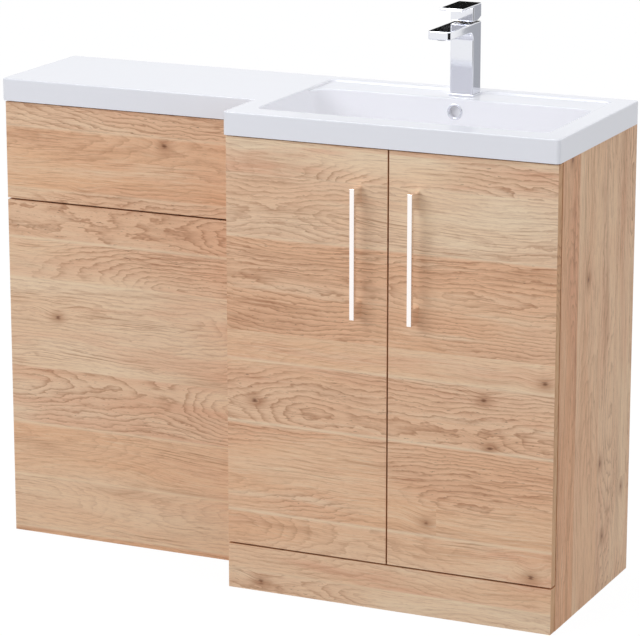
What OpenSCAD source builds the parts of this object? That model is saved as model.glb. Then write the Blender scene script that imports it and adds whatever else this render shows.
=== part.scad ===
// Toilet and basin combination unit: a shallow toilet housing on the left, a
// two-door vanity on the right, one L-shaped top with a moulded basin, and a tap.
// Millimetres. X runs to the right, Y towards the wall, Z up. The origin is on the
// floor, midway across the unit and midway between the wall and the handles.

/* [Overall sizes] */
// Width of the toilet housing
wc_width = 500; // [420:5:640]
// Width of the vanity
vanity_width = 600; // [500:5:800]
// Height of both carcasses, from the floor to the underside of the top
carcass_height = 805; // [670:5:970]
// Depth of the housing, from the wall to the front of its panels
wc_depth = 258; // [240:1:310]
// Depth of the vanity, from the wall to the front of its doors
vanity_depth = 383; // [330:1:460]

/* [Boards] */
// Thickness of sides, base, shelf and rails
board = 18; // [15:0.1:22]
// Thickness of doors, plinth and front panels
front_board = 18; // [15:0.1:22]
// Height of the plinth
plinth_height = 80; // [60:1:100]
// Gap between neighbouring fronts
front_gap = 3; // [2:0.1:4]
// Gap between the back of a door and the carcass
door_gap = 2; // [1.5:0.1:3]
// Height of the toilet housing's pull-off panel
access_height = 175.5; // [140:0.5:215]
// Height of the shelf's top above the floor
shelf_height = 398; // [300:1:420]

/* [Top and basin] */
// Thickness of the top's visible edge
top_thickness = 40; // [34:1:50]
// How far the top stands over the sides
side_overhang = 2.5; // [1:0.5:6]
// How far the top stands over the doors
door_overhang = 7; // [3:1:15]
// How far the top stands over the housing's panels
panel_overhang = 8; // [3:1:15]
// Radius of the top's outer corners
corner_radius = 8; // [3:1:12]
// Width of the basin's mouth
bowl_width = 525; // [430:1:540]
// Flat rim in front of the basin's mouth
front_rim = 49; // [42:1:60]
// Flat rim between the wall and the tap ledge
back_rim = 29; // [20:1:31]
// Distance from the wall to the bowl's back wall
ledge_depth = 98; // [96:1:110]
// How far the tap ledge lies below the rim
ledge_drop = 4; // [2:0.5:8]
// Depth of the bowl below the rim
bowl_depth = 115; // [95:1:140]
// Thickness of the bowl's wall
bowl_wall = 9; // [7:0.5:11]

/* [Tap] */
// Width of the tap's body, spout and lever
tap_width = 43; // [40:1:50]
// Depth of the tap's body, front to back
tap_depth = 37; // [36:1:39]
// Distance from the wall to the middle of the tap
tap_from_wall = 52; // [51:1:54]
// Height of the tap's body above the ledge
tap_height = 128; // [105:1:160]
// Reach of the spout in front of the body
spout_reach = 106; // [80:1:140]
// Thickness of the spout
spout_thickness = 14.5; // [13:0.5:20]
// Length of the lever plate
lever_length = 88; // [80:1:120]

/* [Handles] */
// Length of a handle
handle_length = 224; // [160:1:300]
// Width of a handle's bar
handle_width = 8.5; // [8:0.5:14]
// Thickness of a handle's bar, front to back
handle_thickness = 8; // [6:0.5:12]
// How far a handle stands out from the door
handle_reach = 32; // [26:1:40]
// Height of a handle's two feet
handle_foot = 28; // [14:1:40]
// Height of the handles' top end above the floor
handle_top = 738; // [560:1:760]
// Distance between the two handles' centres
handle_spacing = 104; // [60:1:160]

/* [Cistern] */
// Width of the cistern
tank_width = 380; // [320:1:400]
// Depth of the cistern, front to back
tank_depth = 140; // [110:1:160]
// Height of the cistern
tank_height = 290; // [230:1:320]
// Wall of the cistern
tank_wall = 4; // [3:0.5:6]

/* [Hidden] */
$fn = 48;

// Colours
oak = "#cfa67c";
carcass_oak = "#c79f76";
gloss_white = "#eef0f4";
chrome = "#c9ccd1";
steel = "#a7a9ab";
white_plastic = "#e6e6e2";
grey_plastic = "#8d9196";
black_rubber = "#26262a";
brass = "#b89a55";

// Planes that the boards share
total_width = wc_width + vanity_width;
x_left = -total_width / 2;
x_split = x_left + wc_width;
x_right = total_width / 2;
y_wall = (vanity_depth + handle_reach) / 2;
y_door = y_wall - vanity_depth;
y_carcass = y_door + front_board + door_gap;
y_panel = y_wall - wc_depth;
y_housing = y_panel + front_board;
rim_z = carcass_height + top_thickness;
x_wc = (x_left + x_split) / 2;
x_vanity = (x_split + x_right) / 2;

// Fronts
edge_reveal = 0.5;
door_width = (vanity_width - front_gap) / 2 - edge_reveal;
door_bottom = plinth_height + front_gap;
door_top = carcass_height - front_gap;
access_bottom = door_top - access_height;
access_clearance = 0.4;

// Rails on edge
rail_height = 100;
front_rail_height = 60;
mid_rail_z = access_bottom - front_gap / 2 - rail_height / 2;
cistern_rail_z = carcass_height - 465;

// Cam joints between boards: the cam sits in a face, its bolt in the side board
cam_radius = 7.5;
cam_depth = 12.5;
cam_inset = 24;
cam_bolt_radius = 3.2;
cam_bolt_depth = 10;
cam_clearance = 0.2;
cam_bolt_end = 4;

// Basin
bowl_shift = 1.5;
x_bowl = x_vanity + bowl_shift;
y_bowl_front = y_door - door_overhang + front_rim;
y_bowl_back = y_wall - ledge_depth;
y_tap = y_wall - tap_from_wall;
ledge_z = rim_z - ledge_drop;
floor_z = rim_z - bowl_depth;
front_corner = 14;
back_corner = 42;
floor_corner = 34;
side_draft = 22;
front_draft = 16;
y_waste = (y_bowl_front + front_draft + y_bowl_back) / 2;
boss_depth = 30;
boss_radius = 36;
boss_z = floor_z - boss_depth;

// Overflow: a hole in the bowl's back wall, a channel down behind it and along to the waste
overflow_drop = 27;
overflow_z = rim_z - overflow_drop;
overflow_radius = 11.5;
ring_bore = 10.2;
ring_radius = 14;
ring_lip = 1.5;
ring_sleeve = 5;
ring_seat = 0.08;
channel_radius = 6;
channel_wall = 4;
channel_setback = 12;
channel_z = floor_z - 17;

// Waste and trap
waste_thread_radius = 20.9;
waste_bore_radius = 17;
waste_hole_clearance = 1.6;
waste_length = 54;
flange_radius = 32;
flange_thickness = 2.8;
flange_sink = 4;
seal_thickness = 4;
backnut_height = 10;
plug_stem_radius = 2.5;
pipe_radius = 16;
pipe_wall = 2.2;
tail_z = floor_z - 100;
trap_radius = 28;
trap_top_z = floor_z - 112;
trap_bottom_z = floor_z - 190;
trap_outlet_z = floor_z - 136;
trap_end_gap = 25;
socket_radius = pipe_radius + 4;
socket_height = 24;
outlet_boss = 16;
spigot_length = 40;

// Tap
tap_hole_radius = 16.5;
tap_foot_lip = 2;
tap_foot_height = 3.3;
gasket_thickness = 1;
gasket_inset = 2;
tap_top = ledge_z + tap_height;
cartridge_radius = 15;
cartridge_height = 26;
cartridge_drop = 7;
neck_radius = 9.6;
spindle_radius = 6;
running_clearance = 0.05;
lever_gap = 2.5;
lever_plate = 4.5;
lever_block = 25;
lever_pivot = 8;
pivot_radius = 2;
lever_relief_length = 15;
lever_relief_height = 5.5;
tail_thread_radius = 4.5;
tail_spacing = 18;
shank_radius = 15.5;
shank_length = 6;
tail_offset = 2;
tail_thread_depth = 13;
stud_radius = 4;
stud_offset = 8.5;
stud_end = 26;
stud_thread_depth = 14;
spout_corner = 9;
aerator_radius = 10;
aerator_inset = 18;
lever_pin_length = 38;

// Concealed hinge. Its own frame has X inwards from the door's outer edge, Y forwards from
// the carcass front, and Z up from its middle. A link turns on the arm and in the cup.
cup_radius = 17.5;
cup_depth = 11.5;
cup_shell = 1.2;
hinge_reach = 14;
hinge_lead = 6;
link_length = 21;
link_pin_radius = 1.5;
link_half_width = 5;
link_bow = 4;
link_bow_at = 0.7;
link_thickness = 3;
arm_pin = [board + hinge_reach, hinge_lead];
cup_pin = [arm_pin[0] - link_length, hinge_lead];
cup_centre = cup_pin[0] + 11.5;
hinge_margin = 100;
cup_screw_offset = 24;
cup_screw_radius = 1.8;
cup_screw_depth = 10;
hinge_plate = 3;
plate_screw_radius = 2.2;
plate_screw_depth = 12;
plate_screw_y = -37;
plate_screw_offset = 18;
hinge_heights = [door_bottom + hinge_margin, door_top - hinge_margin];

// Cistern
y_tank_back = y_wall - board;
y_tank = y_tank_back - tank_depth / 2;
tank_z = cistern_rail_z + rail_height;
tank_top = tank_z + tank_height;
fill_offset = tank_width * 0.34;
x_fill = x_wc + fill_offset;
overflow_tube_radius = 12;
float_stem_radius = 9;
inlet_radius = 10.5;
inlet_thread_radius = inlet_radius + 1.5;
tank_hole_clearance = 0.5;
inlet_bore = 5;
inlet_length = 24;
inlet_shank = 14;
flush_pipe_radius = 25;
flush_pipe_wall = 2;
flush_thread_radius = flush_pipe_radius + 3;
flush_pipe_drop = 24;
tank_screw_radius = 1.9;
tank_screw_drop = 12;
tank_screw_depth = 14;
tank_screw_spacing = tank_width * 0.6;
flush_bend = 45;
flush_outlet_z = tank_z - 100;

handle_screw_radius = 2;
handle_screw_depth = 12;
handle_xs = [x_vanity - handle_spacing / 2, x_vanity + handle_spacing / 2];
handle_screw_zs = [handle_top - handle_foot / 2, handle_top - handle_length + handle_foot / 2];

// Each cam joint: [x of the joint, way into the board, y, z, turn that points the cam's face]
face_down = [180, 0, 0];
face_back = [-90, 0, 0];
face_front = [90, 0, 0];
function ends(x0, x1, y, z, turn) = [[x0, 1, y, z, turn], [x1, -1, y, z, turn]];
vanity_in = [x_split + board, x_right - board];
housing_in = [x_left + board, x_split - board];
cams = concat(
    ends(vanity_in[0], vanity_in[1], y_carcass + 60, plinth_height + board / 2, face_down),
    ends(vanity_in[0], vanity_in[1], y_wall - 80, plinth_height + board / 2, face_down),
    ends(vanity_in[0], vanity_in[1], y_carcass + board / 2, carcass_height - front_rail_height / 2, face_back),
    ends(vanity_in[0], vanity_in[1], y_wall - board / 2, carcass_height - rail_height / 2, face_front),
    ends(vanity_in[0], vanity_in[1], y_wall - board / 2, plinth_height + board + rail_height / 2, face_front),
    ends(housing_in[0], housing_in[1], y_housing + board / 2, mid_rail_z + rail_height / 2, face_back),
    ends(housing_in[0], housing_in[1], y_housing + board / 2, carcass_height - front_rail_height / 2,
        face_back),
    ends(housing_in[0], housing_in[1], y_wall - board / 2, carcass_height - rail_height / 2, face_front),
    ends(housing_in[0], housing_in[1], y_wall - board / 2, cistern_rail_z + rail_height / 2, face_front)
);

joining_places = [for (y = [y_wall - 60, y_housing + 70], z = [120, carcass_height - 160]) [y, z]];
joining_radius = 3;

clip_places = [for (x = [x_wc - wc_width * 0.36, x_wc + wc_width * 0.36],
                    z = [access_bottom + 18, carcass_height - front_rail_height / 2]) [x, z]];
clip_radius = 3;
clip_socket_radius = 6;
clip_length = 14;
clip_sink = 10;

block_size = 22;
block_height = 50;
block_zs = [90, 380];
plinth_block_z = 8;
block_screw_radius = 1.8;
block_screw_depth = 10;
block_screw_offset = 12;

peg_radius = 2.5;
peg_length = 16;
peg_places = [for (x = vanity_in, y = [y_carcass + 50, y_wall - 90]) [x, y]];
shelf_back_gap = 22;
wall_hole_radius = 4;
wall_hole_rise = 20;
wall_hole_spacing_vanity = vanity_width - 160;
wall_hole_spacing_housing = wc_width - 160;

// ---- helpers ----

module block(lo, hi) {
    translate(lo) cube(hi - lo);
}

module along_x(r, length) {
    rotate([0, 90, 0]) cylinder(r = r, h = length);
}

module along_y(r, length) {
    rotate([-90, 0, 0]) cylinder(r = r, h = length);
}

module tube(outer, inner, length) {
    difference() {
        cylinder(r = outer, h = length);
        translate([0, 0, -1]) cylinder(r = inner, h = length + 2);
    }
}

module rounded_rect(lo, hi, r) {
    translate([lo[0] + r, lo[1]]) square([hi[0] - lo[0] - 2 * r, hi[1] - lo[1]]);
    translate([lo[0], lo[1] + r]) square([hi[0] - lo[0], hi[1] - lo[1] - 2 * r]);
    for (x = [lo[0] + r, hi[0] - r], y = [lo[1] + r, hi[1] - r]) translate([x, y]) circle(r = r);
}

module cam_frame(c) {
    translate([c[0] + c[1] * cam_inset, c[2], c[3]]) rotate(c[4]) children();
}

// What the cams take out of the boards that hold them
module cam_pockets() {
    for (c = cams) {
        cam_frame(c) {
            translate([0, 0, board / 2 - cam_depth - cam_clearance]) {
                cylinder(r = cam_radius + cam_clearance, h = cam_depth + 1);
            }
        }
        translate([c[1] > 0 ? c[0] - 1 : c[0] - cam_inset, c[2], c[3]]) {
            along_x(cam_bolt_radius + cam_clearance, cam_inset + 1);
        }
    }
}

// What the cam bolts take out of the side boards
module cam_bolt_holes() {
    for (c = cams) {
        translate([c[1] > 0 ? c[0] - cam_bolt_depth : c[0] - 1, c[2], c[3]]) {
            along_x(cam_bolt_radius, cam_bolt_depth + 1);
        }
    }
}

module joining_holes() {
    for (p = joining_places) translate([x_split - board - 1, p[0], p[1]])
        along_x(joining_radius, 2 * board + 2);
}

module hinge_frame_left(z) {
    translate([x_split, y_carcass, z]) mirror([0, 1, 0]) children();
}

module hinge_frame_right(z) {
    translate([x_right, y_carcass, z]) rotate([0, 0, 180]) children();
}

// ---- toilet housing ----

module housing_side(x) {
    color(carcass_oak) difference() {
        block([x, y_housing, 0], [x + board, y_wall, carcass_height]);
        cam_bolt_holes();
        joining_holes();
        block_screw_holes();
    }
}

module wc_side_left() {
    housing_side(x_left);
}

module wc_side_right() {
    housing_side(x_split - board);
}

module wc_front_panel() {
    color(oak) difference() {
        block([x_left + edge_reveal, y_panel, 0],
              [x_split - edge_reveal, y_housing, access_bottom - front_gap]);
        block_screw_holes();
    }
}

module wc_access_panel() {
    color(oak) difference() {
        block([x_left + edge_reveal, y_panel, access_bottom],
              [x_split - edge_reveal, y_housing - access_clearance, door_top]);
        for (p = clip_places) {
            translate([p[0], y_housing - clip_sink, p[1]]) along_y(clip_radius, clip_sink + 1);
        }
    }
}

module wc_front_rails() {
    color(carcass_oak) difference() {
        union() {
            block([housing_in[0], y_housing, mid_rail_z],
                  [housing_in[1], y_housing + board, mid_rail_z + rail_height]);
            block([housing_in[0], y_housing, carcass_height - front_rail_height],
                  [housing_in[1], y_housing + board, carcass_height]);
        }
        cam_pockets();
        for (p = clip_places) translate([p[0], y_housing - 1, p[1]]) along_y(clip_socket_radius, board + 2);
    }
}

module wc_back_rails() {
    color(carcass_oak) difference() {
        union() {
            block([housing_in[0], y_wall - board, carcass_height - rail_height],
                  [housing_in[1], y_wall, carcass_height]);
            block([housing_in[0], y_wall - board, cistern_rail_z],
                  [housing_in[1], y_wall, cistern_rail_z + rail_height]);
        }
        cam_pockets();
        tank_screw_holes();
        wall_holes(x_wc, wall_hole_spacing_housing);
    }
}

module wall_holes(x, spacing) {
    for (s = [-1, 1]) {
        translate([x + s * spacing / 2, y_wall - board - 1,
                carcass_height - rail_height / 2 + wall_hole_rise]) {
            along_y(wall_hole_radius, board + 2);
        }
    }
}

module at_blocks() {
    for (z = block_zs) {
        translate([housing_in[0], y_housing, z]) children();
        translate([housing_in[1], y_housing, z]) mirror([1, 0, 0]) children();
    }
    translate([vanity_in[0], y_carcass, plinth_block_z]) children();
    translate([vanity_in[1], y_carcass, plinth_block_z]) mirror([1, 0, 0]) children();
}

// What the blocks' screws take out of the boards
module block_screw_holes() {
    at_blocks() {
        translate([-block_screw_depth, block_size / 2, block_height / 2 - block_screw_offset]) {
            along_x(block_screw_radius, block_screw_depth + 1);
        }
        translate([block_size / 2, -block_screw_depth, block_height / 2 + block_screw_offset]) {
            along_y(block_screw_radius, block_screw_depth + 1);
        }
    }
}

// Corner block with its two screws, which lie in sunk holes
module fixing_blocks() {
    sink = 4;
    head = 2 * block_screw_radius;
    color(white_plastic) at_blocks() {
        difference() {
            cube([block_size, block_size, block_height]);
            translate([block_size - sink, block_size / 2, block_height / 2 - block_screw_offset]) {
                along_x(head, sink + 1);
            }
            translate([block_size / 2, block_size - sink, block_height / 2 + block_screw_offset]) {
                along_y(head, sink + 1);
            }
        }
        translate([-block_screw_depth, block_size / 2, block_height / 2 - block_screw_offset]) {
            along_x(block_screw_radius, block_screw_depth + block_size - sink / 2);
        }
        translate([block_size / 2, -block_screw_depth, block_height / 2 + block_screw_offset]) {
            along_y(block_screw_radius, block_screw_depth + block_size - sink / 2);
        }
    }
}

module clip_studs() {
    color(white_plastic) for (p = clip_places) {
        translate([p[0], y_housing - clip_sink, p[1]]) along_y(clip_radius, clip_sink + clip_length);
    }
}

module clip_sockets() {
    color(grey_plastic) for (p = clip_places) {
        translate([p[0], y_housing, p[1]]) difference() {
            along_y(clip_socket_radius, board);
            translate([0, -1, 0]) along_y(clip_radius + running_clearance, board + 2);
        }
    }
}

// ---- cistern ----

module at_tank_screws() {
    for (s = [-1, 1]) {
        translate([x_wc + s * tank_screw_spacing / 2, y_tank_back - tank_wall, tank_top - tank_screw_drop]) {
            children();
        }
    }
}

module tank_screw_holes() {
    at_tank_screws() translate([0, -1, 0]) along_y(tank_screw_radius, tank_wall + tank_screw_depth + 1);
}

module cistern_tank() {
    half = tank_width / 2;
    color(white_plastic) difference() {
        block([x_wc - half, y_tank_back - tank_depth, tank_z], [x_wc + half, y_tank_back, tank_top]);
        block([x_wc - half + tank_wall, y_tank_back - tank_depth + tank_wall, tank_z + tank_wall],
              [x_wc + half - tank_wall, y_tank_back - tank_wall, tank_top + 1]);
        for (hole = [[x_wc, flush_thread_radius], [x_fill, inlet_thread_radius]]) {
            translate([hole[0], y_tank, tank_z - 1]) {
                cylinder(r = hole[1] + tank_hole_clearance, h = tank_wall + 2);
            }
        }
        tank_screw_holes();
    }
}

module cistern_lid() {
    gap = 0.3;
    plate = 4;
    skirt_depth = 4;
    skirt_wall = 3;
    inset = tank_wall + 0.5;
    screw_room = 3;
    x = [x_wc - tank_width / 2, x_wc + tank_width / 2];
    y = [y_tank_back - tank_depth, y_tank_back];
    lo = [x[0] + inset, y[0] + inset];
    hi = [x[1] - inset, y[1] - inset - screw_room];
    color(white_plastic) {
        block([x[0], y[0], tank_top + gap], [x[1], y[1], tank_top + gap + plate]);
        difference() {
            block([lo[0], lo[1], tank_top - skirt_depth], [hi[0], hi[1], tank_top + gap]);
            block([lo[0] + skirt_wall, lo[1] + skirt_wall, tank_top - skirt_depth - 1],
                  [hi[0] - skirt_wall, hi[1] - skirt_wall, tank_top + gap]);
        }
    }
}

module cistern_screws() {
    color(steel) at_tank_screws() {
        along_y(tank_screw_radius, tank_wall + tank_screw_depth);
        translate([0, -tank_screw_radius, 0]) along_y(2 * tank_screw_radius, tank_screw_radius);
    }
}

// Tower in the tank, its threaded shank through the floor and the nut that holds it
module flush_valve() {
    seat_radius = 36;
    seat_height = 6;
    shank = tank_wall + 26;
    tower = tank_height * 0.42;
    leg_at = 30;
    leg = [5, 6, tower - seat_height];
    bridge = 4;
    nut_radius = 38;
    nut_height = 12;
    color(white_plastic) translate([x_wc, y_tank, tank_z + tank_wall]) {
        tube(seat_radius, flush_pipe_radius - flush_pipe_wall, seat_height);
        translate([0, 0, -shank]) tube(flush_thread_radius, flush_pipe_radius + 0.2, shank);
        for (a = [45:90:315]) rotate([0, 0, a]) translate([leg_at, -leg[1] / 2, seat_height]) cube(leg);
        translate([0, 0, tower]) tube(leg_at + leg[0], overflow_tube_radius + running_clearance, bridge);
    }
    color(grey_plastic) translate([x_wc, y_tank, tank_z - nut_height]) difference() {
        cylinder(r = nut_radius, h = nut_height, $fn = 8);
        translate([0, 0, -1]) cylinder(r = flush_thread_radius, h = nut_height + 2);
    }
}

// Seal disc on the overflow tube that lifts to flush
module flush_plunger() {
    seat_height = 6;
    seal_radius = 27;
    seal = 5;
    tube_wall = 2.5;
    tube_height = tank_height * 0.62;
    color(grey_plastic) translate([x_wc, y_tank, tank_z + tank_wall + seat_height + 0.1]) difference() {
        union() {
            cylinder(r = seal_radius, h = seal);
            cylinder(r = overflow_tube_radius, h = tube_height);
        }
        translate([0, 0, -1]) cylinder(r = overflow_tube_radius - tube_wall, h = tube_height + 2);
    }
}

module fill_valve() {
    foot_radius = 16;
    foot = 4;
    head = [32, 28, 28];
    head_z = tank_height - 75;
    side_pipe_radius = 4;
    side_pipe_x = -22;
    side_pipe_drop = 40;
    side_pipe_length = 52;
    bridge = [10, 6, 8];
    bridge_rise = 4;
    nut_radius = 18;
    nut_height = 10;
    color(white_plastic) translate([x_fill, y_tank, tank_z + tank_wall]) {
        cylinder(r = foot_radius, h = foot);
        cylinder(r = float_stem_radius, h = head_z);
        translate([-head[0] / 2, -head[1] / 2, head_z]) cube(head);
        translate([side_pipe_x, 0, head_z - side_pipe_drop])
            cylinder(r = side_pipe_radius, h = side_pipe_length);
        translate([side_pipe_x, -bridge[1] / 2, head_z + bridge_rise]) cube(bridge);
    }
    color(white_plastic) translate([x_fill, y_tank, tank_z - inlet_shank]) {
        translate([0, 0, -inlet_length]) tube(inlet_radius, inlet_bore, inlet_length);
        tube(inlet_thread_radius, inlet_bore, inlet_shank + tank_wall);
    }
    color(grey_plastic) translate([x_fill, y_tank, tank_z - nut_height]) difference() {
        cylinder(r = nut_radius, h = nut_height, $fn = 6);
        translate([0, 0, -1]) cylinder(r = inlet_thread_radius, h = nut_height + 2);
    }
}

module fill_float() {
    seat = 4.5;
    radius = 16.5;
    height = 48;
    sliding_clearance = 0.5;
    color(grey_plastic) translate([x_fill, y_tank, tank_z + tank_wall + seat]) {
        tube(radius, float_stem_radius + sliding_clearance, height);
    }
}

module flush_pipe() {
    inner = flush_pipe_radius - flush_pipe_wall;
    drop_z = flush_outlet_z + flush_bend;
    overlap = 22;
    drop = tank_z - flush_pipe_drop + overlap - drop_z;
    front = y_housing + 12;
    color(white_plastic) {
        translate([x_wc, y_tank, drop_z]) tube(flush_pipe_radius, inner, drop);
        translate([x_wc, y_tank - flush_bend, drop_z]) rotate([90, 0, 90]) rotate([0, 0, -90]) {
            rotate_extrude(angle = 90) translate([flush_bend, 0]) difference() {
                circle(r = flush_pipe_radius);
                circle(r = inner);
            }
        }
        translate([x_wc, front, flush_outlet_z]) rotate([-90, 0, 0]) {
            tube(flush_pipe_radius, inner, y_tank - flush_bend - front);
        }
    }
}

// ---- vanity ----

module vanity_side(x) {
    color(oak) difference() {
        block([x, y_carcass, 0], [x + board, y_wall, carcass_height]);
        cam_bolt_holes();
        joining_holes();
        for (p = peg_places) translate([p[0] - peg_length / 2 - 1, p[1], shelf_height - board - peg_radius]) {
            along_x(peg_radius, peg_length + 2);
        }
        hinge_screw_holes();
        block_screw_holes();
    }
}

module vanity_side_left() {
    vanity_side(x_split);
}

module vanity_side_right() {
    vanity_side(x_right - board);
}

module vanity_base() {
    color(carcass_oak) difference() {
        block([vanity_in[0], y_carcass, plinth_height], [vanity_in[1], y_wall, plinth_height + board]);
        cam_pockets();
    }
}

module vanity_shelf() {
    side_gap = 1.8;
    front_setback = 12;
    color(carcass_oak) block([vanity_in[0] + side_gap, y_carcass + front_setback, shelf_height - board],
                             [vanity_in[1] - side_gap, y_wall - shelf_back_gap, shelf_height]);
}

module shelf_pegs() {
    collar = 1.5;
    color(steel) for (p = peg_places) translate([p[0], p[1], shelf_height - board - peg_radius]) {
        translate([-peg_length / 2, 0, 0]) along_x(peg_radius, peg_length);
        translate([p[0] < x_vanity ? 0 : -collar, 0, 0]) along_x(peg_radius + 1, collar);
    }
}

module vanity_front_rail() {
    color(carcass_oak) difference() {
        block([vanity_in[0], y_carcass, carcass_height - front_rail_height],
              [vanity_in[1], y_carcass + board, carcass_height]);
        cam_pockets();
    }
}

module vanity_back_rails() {
    low = plinth_height + board;
    color(carcass_oak) difference() {
        union() {
            block([vanity_in[0], y_wall - board, carcass_height - rail_height],
                  [vanity_in[1], y_wall, carcass_height]);
            block([vanity_in[0], y_wall - board, low], [vanity_in[1], y_wall, low + rail_height]);
        }
        cam_pockets();
        wall_holes(x_vanity, wall_hole_spacing_vanity);
    }
}

module plinth() {
    color(oak) difference() {
        block([x_split + edge_reveal, y_door, 0], [x_right - edge_reveal, y_carcass, plinth_height]);
        block_screw_holes();
    }
}

module door_buffers() {
    spacing = 80;
    radius = 4;
    squeeze = 0.3;
    heights = [plinth_height + board / 2 + 3, carcass_height - 20];
    color(white_plastic) for (s = [-1, 1], z = heights) {
        translate([x_vanity + s * spacing / 2, y_carcass - door_gap + squeeze, z]) {
            along_y(radius, door_gap - squeeze);
        }
    }
}

module cam_locks() {
    recess = 0.3;
    slot = [8, 1.6, 3];
    slot_depth = 2;
    color(steel) for (c = cams) cam_frame(c) difference() {
        translate([0, 0, board / 2 - cam_depth]) cylinder(r = cam_radius, h = cam_depth - recess);
        translate([c[1] > 0 ? -cam_radius - 1 : cam_bolt_end - 1, 0, 0]) {
            along_x(cam_bolt_radius + cam_clearance, cam_radius + 2 - cam_bolt_end);
        }
        for (turn = [0, 90]) rotate([0, 0, turn]) {
            translate([-slot[0] / 2, -slot[1] / 2, board / 2 - slot_depth]) cube(slot);
        }
    }
}

module cam_bolts() {
    color(brass) for (c = cams) {
        translate([c[1] > 0 ? c[0] - cam_bolt_depth : c[0] - cam_inset + cam_bolt_end, c[2], c[3]]) {
            along_x(cam_bolt_radius, cam_bolt_depth + cam_inset - cam_bolt_end);
        }
    }
}

module joining_bolts() {
    head_radius = 7;
    head = 2;
    color(steel) for (p = joining_places) translate([x_split, p[0], p[1]]) {
        translate([-board, 0, 0]) along_x(joining_radius, 2 * board);
        translate([-board - head, 0, 0]) along_x(head_radius, head);
        translate([board, 0, 0]) along_x(head_radius, head);
    }
}

// ---- doors and hinges ----

module cup_hole() {
    translate([cup_centre, door_gap - 1, 0]) along_y(cup_radius, cup_depth + 1);
    for (s = [-1, 1]) {
        translate([cup_centre, door_gap - 1, s * cup_screw_offset]) {
            along_y(cup_screw_radius, cup_screw_depth + 1);
        }
    }
}

module door_board(x) {
    color(oak) difference() {
        block([x, y_door, door_bottom], [x + door_width, y_door + front_board, door_top]);
        for (z = hinge_heights) {
            hinge_frame_left(z) cup_hole();
            hinge_frame_right(z) cup_hole();
        }
        for (hx = handle_xs, z = handle_screw_zs) {
            translate([hx, y_door - 1, z]) along_y(handle_screw_radius + 0.2, front_board + 2);
        }
    }
}

module door_left() {
    door_board(x_split + edge_reveal);
}

module door_right() {
    door_board(x_right - edge_reveal - door_width);
}

module handle(x) {
    foot = [handle_width, handle_reach, handle_foot];
    color(chrome) difference() {
        translate([x - handle_width / 2, y_door - handle_reach, handle_top - handle_length]) {
            cube([handle_width, handle_thickness, handle_length]);
            cube(foot);
            translate([0, 0, handle_length - handle_foot]) cube(foot);
        }
        for (z = handle_screw_zs) {
            translate([x, y_door - handle_screw_depth, z]) along_y(handle_screw_radius, handle_screw_depth + 1);
        }
    }
}

module handle_left() {
    handle(handle_xs[0]);
}

module handle_right() {
    handle(handle_xs[1]);
}

module handle_screws(x) {
    head = 2;
    for (z = handle_screw_zs) translate([x, y_door, z]) {
        translate([0, -handle_screw_depth, 0]) along_y(handle_screw_radius, handle_screw_depth + front_board);
        translate([0, front_board, 0]) along_y(2 * handle_screw_radius, head);
    }
}

module cup_screws() {
    head_radius = 3.4;
    head = 0.4;
    for (s = [-1, 1]) translate([cup_centre, door_gap, s * cup_screw_offset]) {
        translate([0, -1, 0]) along_y(cup_screw_radius, cup_screw_depth + 1);
        translate([0, -1 - head, 0]) along_y(head_radius, head);
    }
}

module door_screws_left() {
    color(steel) {
        handle_screws(handle_xs[0]);
        for (z = hinge_heights) hinge_frame_left(z) cup_screws();
    }
}

module door_screws_right() {
    color(steel) {
        handle_screws(handle_xs[1]);
        for (z = hinge_heights) hinge_frame_right(z) cup_screws();
    }
}

// Steel cup with its flange on the back of the door and the pin that the link turns on
module hinge_cup() {
    wing = [19, 30];
    wing_thickness = 1;
    pin_length = 25;
    difference() {
        union() {
            translate([cup_centre, door_gap, 0]) along_y(cup_radius, cup_depth);
            block([cup_centre - wing[0], door_gap - wing_thickness, -wing[1]],
                  [cup_centre + wing[0], door_gap, wing[1]]);
        }
        translate([cup_centre, door_gap - 2, 0]) along_y(cup_radius - cup_shell, cup_depth + 2 - cup_shell);
        for (s = [-1, 1]) {
            translate([cup_centre, door_gap - 2, s * cup_screw_offset]) along_y(cup_screw_radius, 4);
        }
    }
    translate([cup_pin[0], cup_pin[1], -pin_length / 2]) cylinder(r = link_pin_radius, h = pin_length);
}

module hinge_cups_left() {
    color(steel) for (z = hinge_heights) hinge_frame_left(z) hinge_cup();
}

module hinge_cups_right() {
    color(steel) for (z = hinge_heights) hinge_frame_right(z) hinge_cup();
}

// A strip of steel from one point to another, seen along the pins
module strip(from, to, width) {
    d = (to - from) / norm(to - from) * width / 2;
    polygon([[from[0] - d[1], from[1] + d[0]], [to[0] - d[1], to[1] + d[0]],
             [to[0] + d[1], to[1] - d[0]], [from[0] + d[1], from[1] - d[0]]]);
}

// Bowed link, so that it clears the rim of the cup when the door is open
module hinge_link() {
    elbow = [arm_pin[0] - link_bow_at * link_length, arm_pin[1] + link_bow];
    eye_radii = [2.9, 2.7];
    translate([0, 0, -link_half_width]) linear_extrude(2 * link_half_width) difference() {
        union() {
            strip(arm_pin, elbow, link_thickness);
            strip(elbow, cup_pin, link_thickness);
            translate(elbow) circle(r = link_thickness / 2 + 0.3);
            translate(arm_pin) circle(r = eye_radii[0]);
            translate(cup_pin) circle(r = eye_radii[1]);
        }
        translate(arm_pin) circle(r = link_pin_radius + running_clearance);
        translate(cup_pin) circle(r = link_pin_radius + running_clearance);
    }
}

module hinge_links_left() {
    color(steel) for (z = hinge_heights) hinge_frame_left(z) hinge_link();
}

module hinge_links_right() {
    color(steel) for (z = hinge_heights) hinge_frame_right(z) hinge_link();
}

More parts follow.
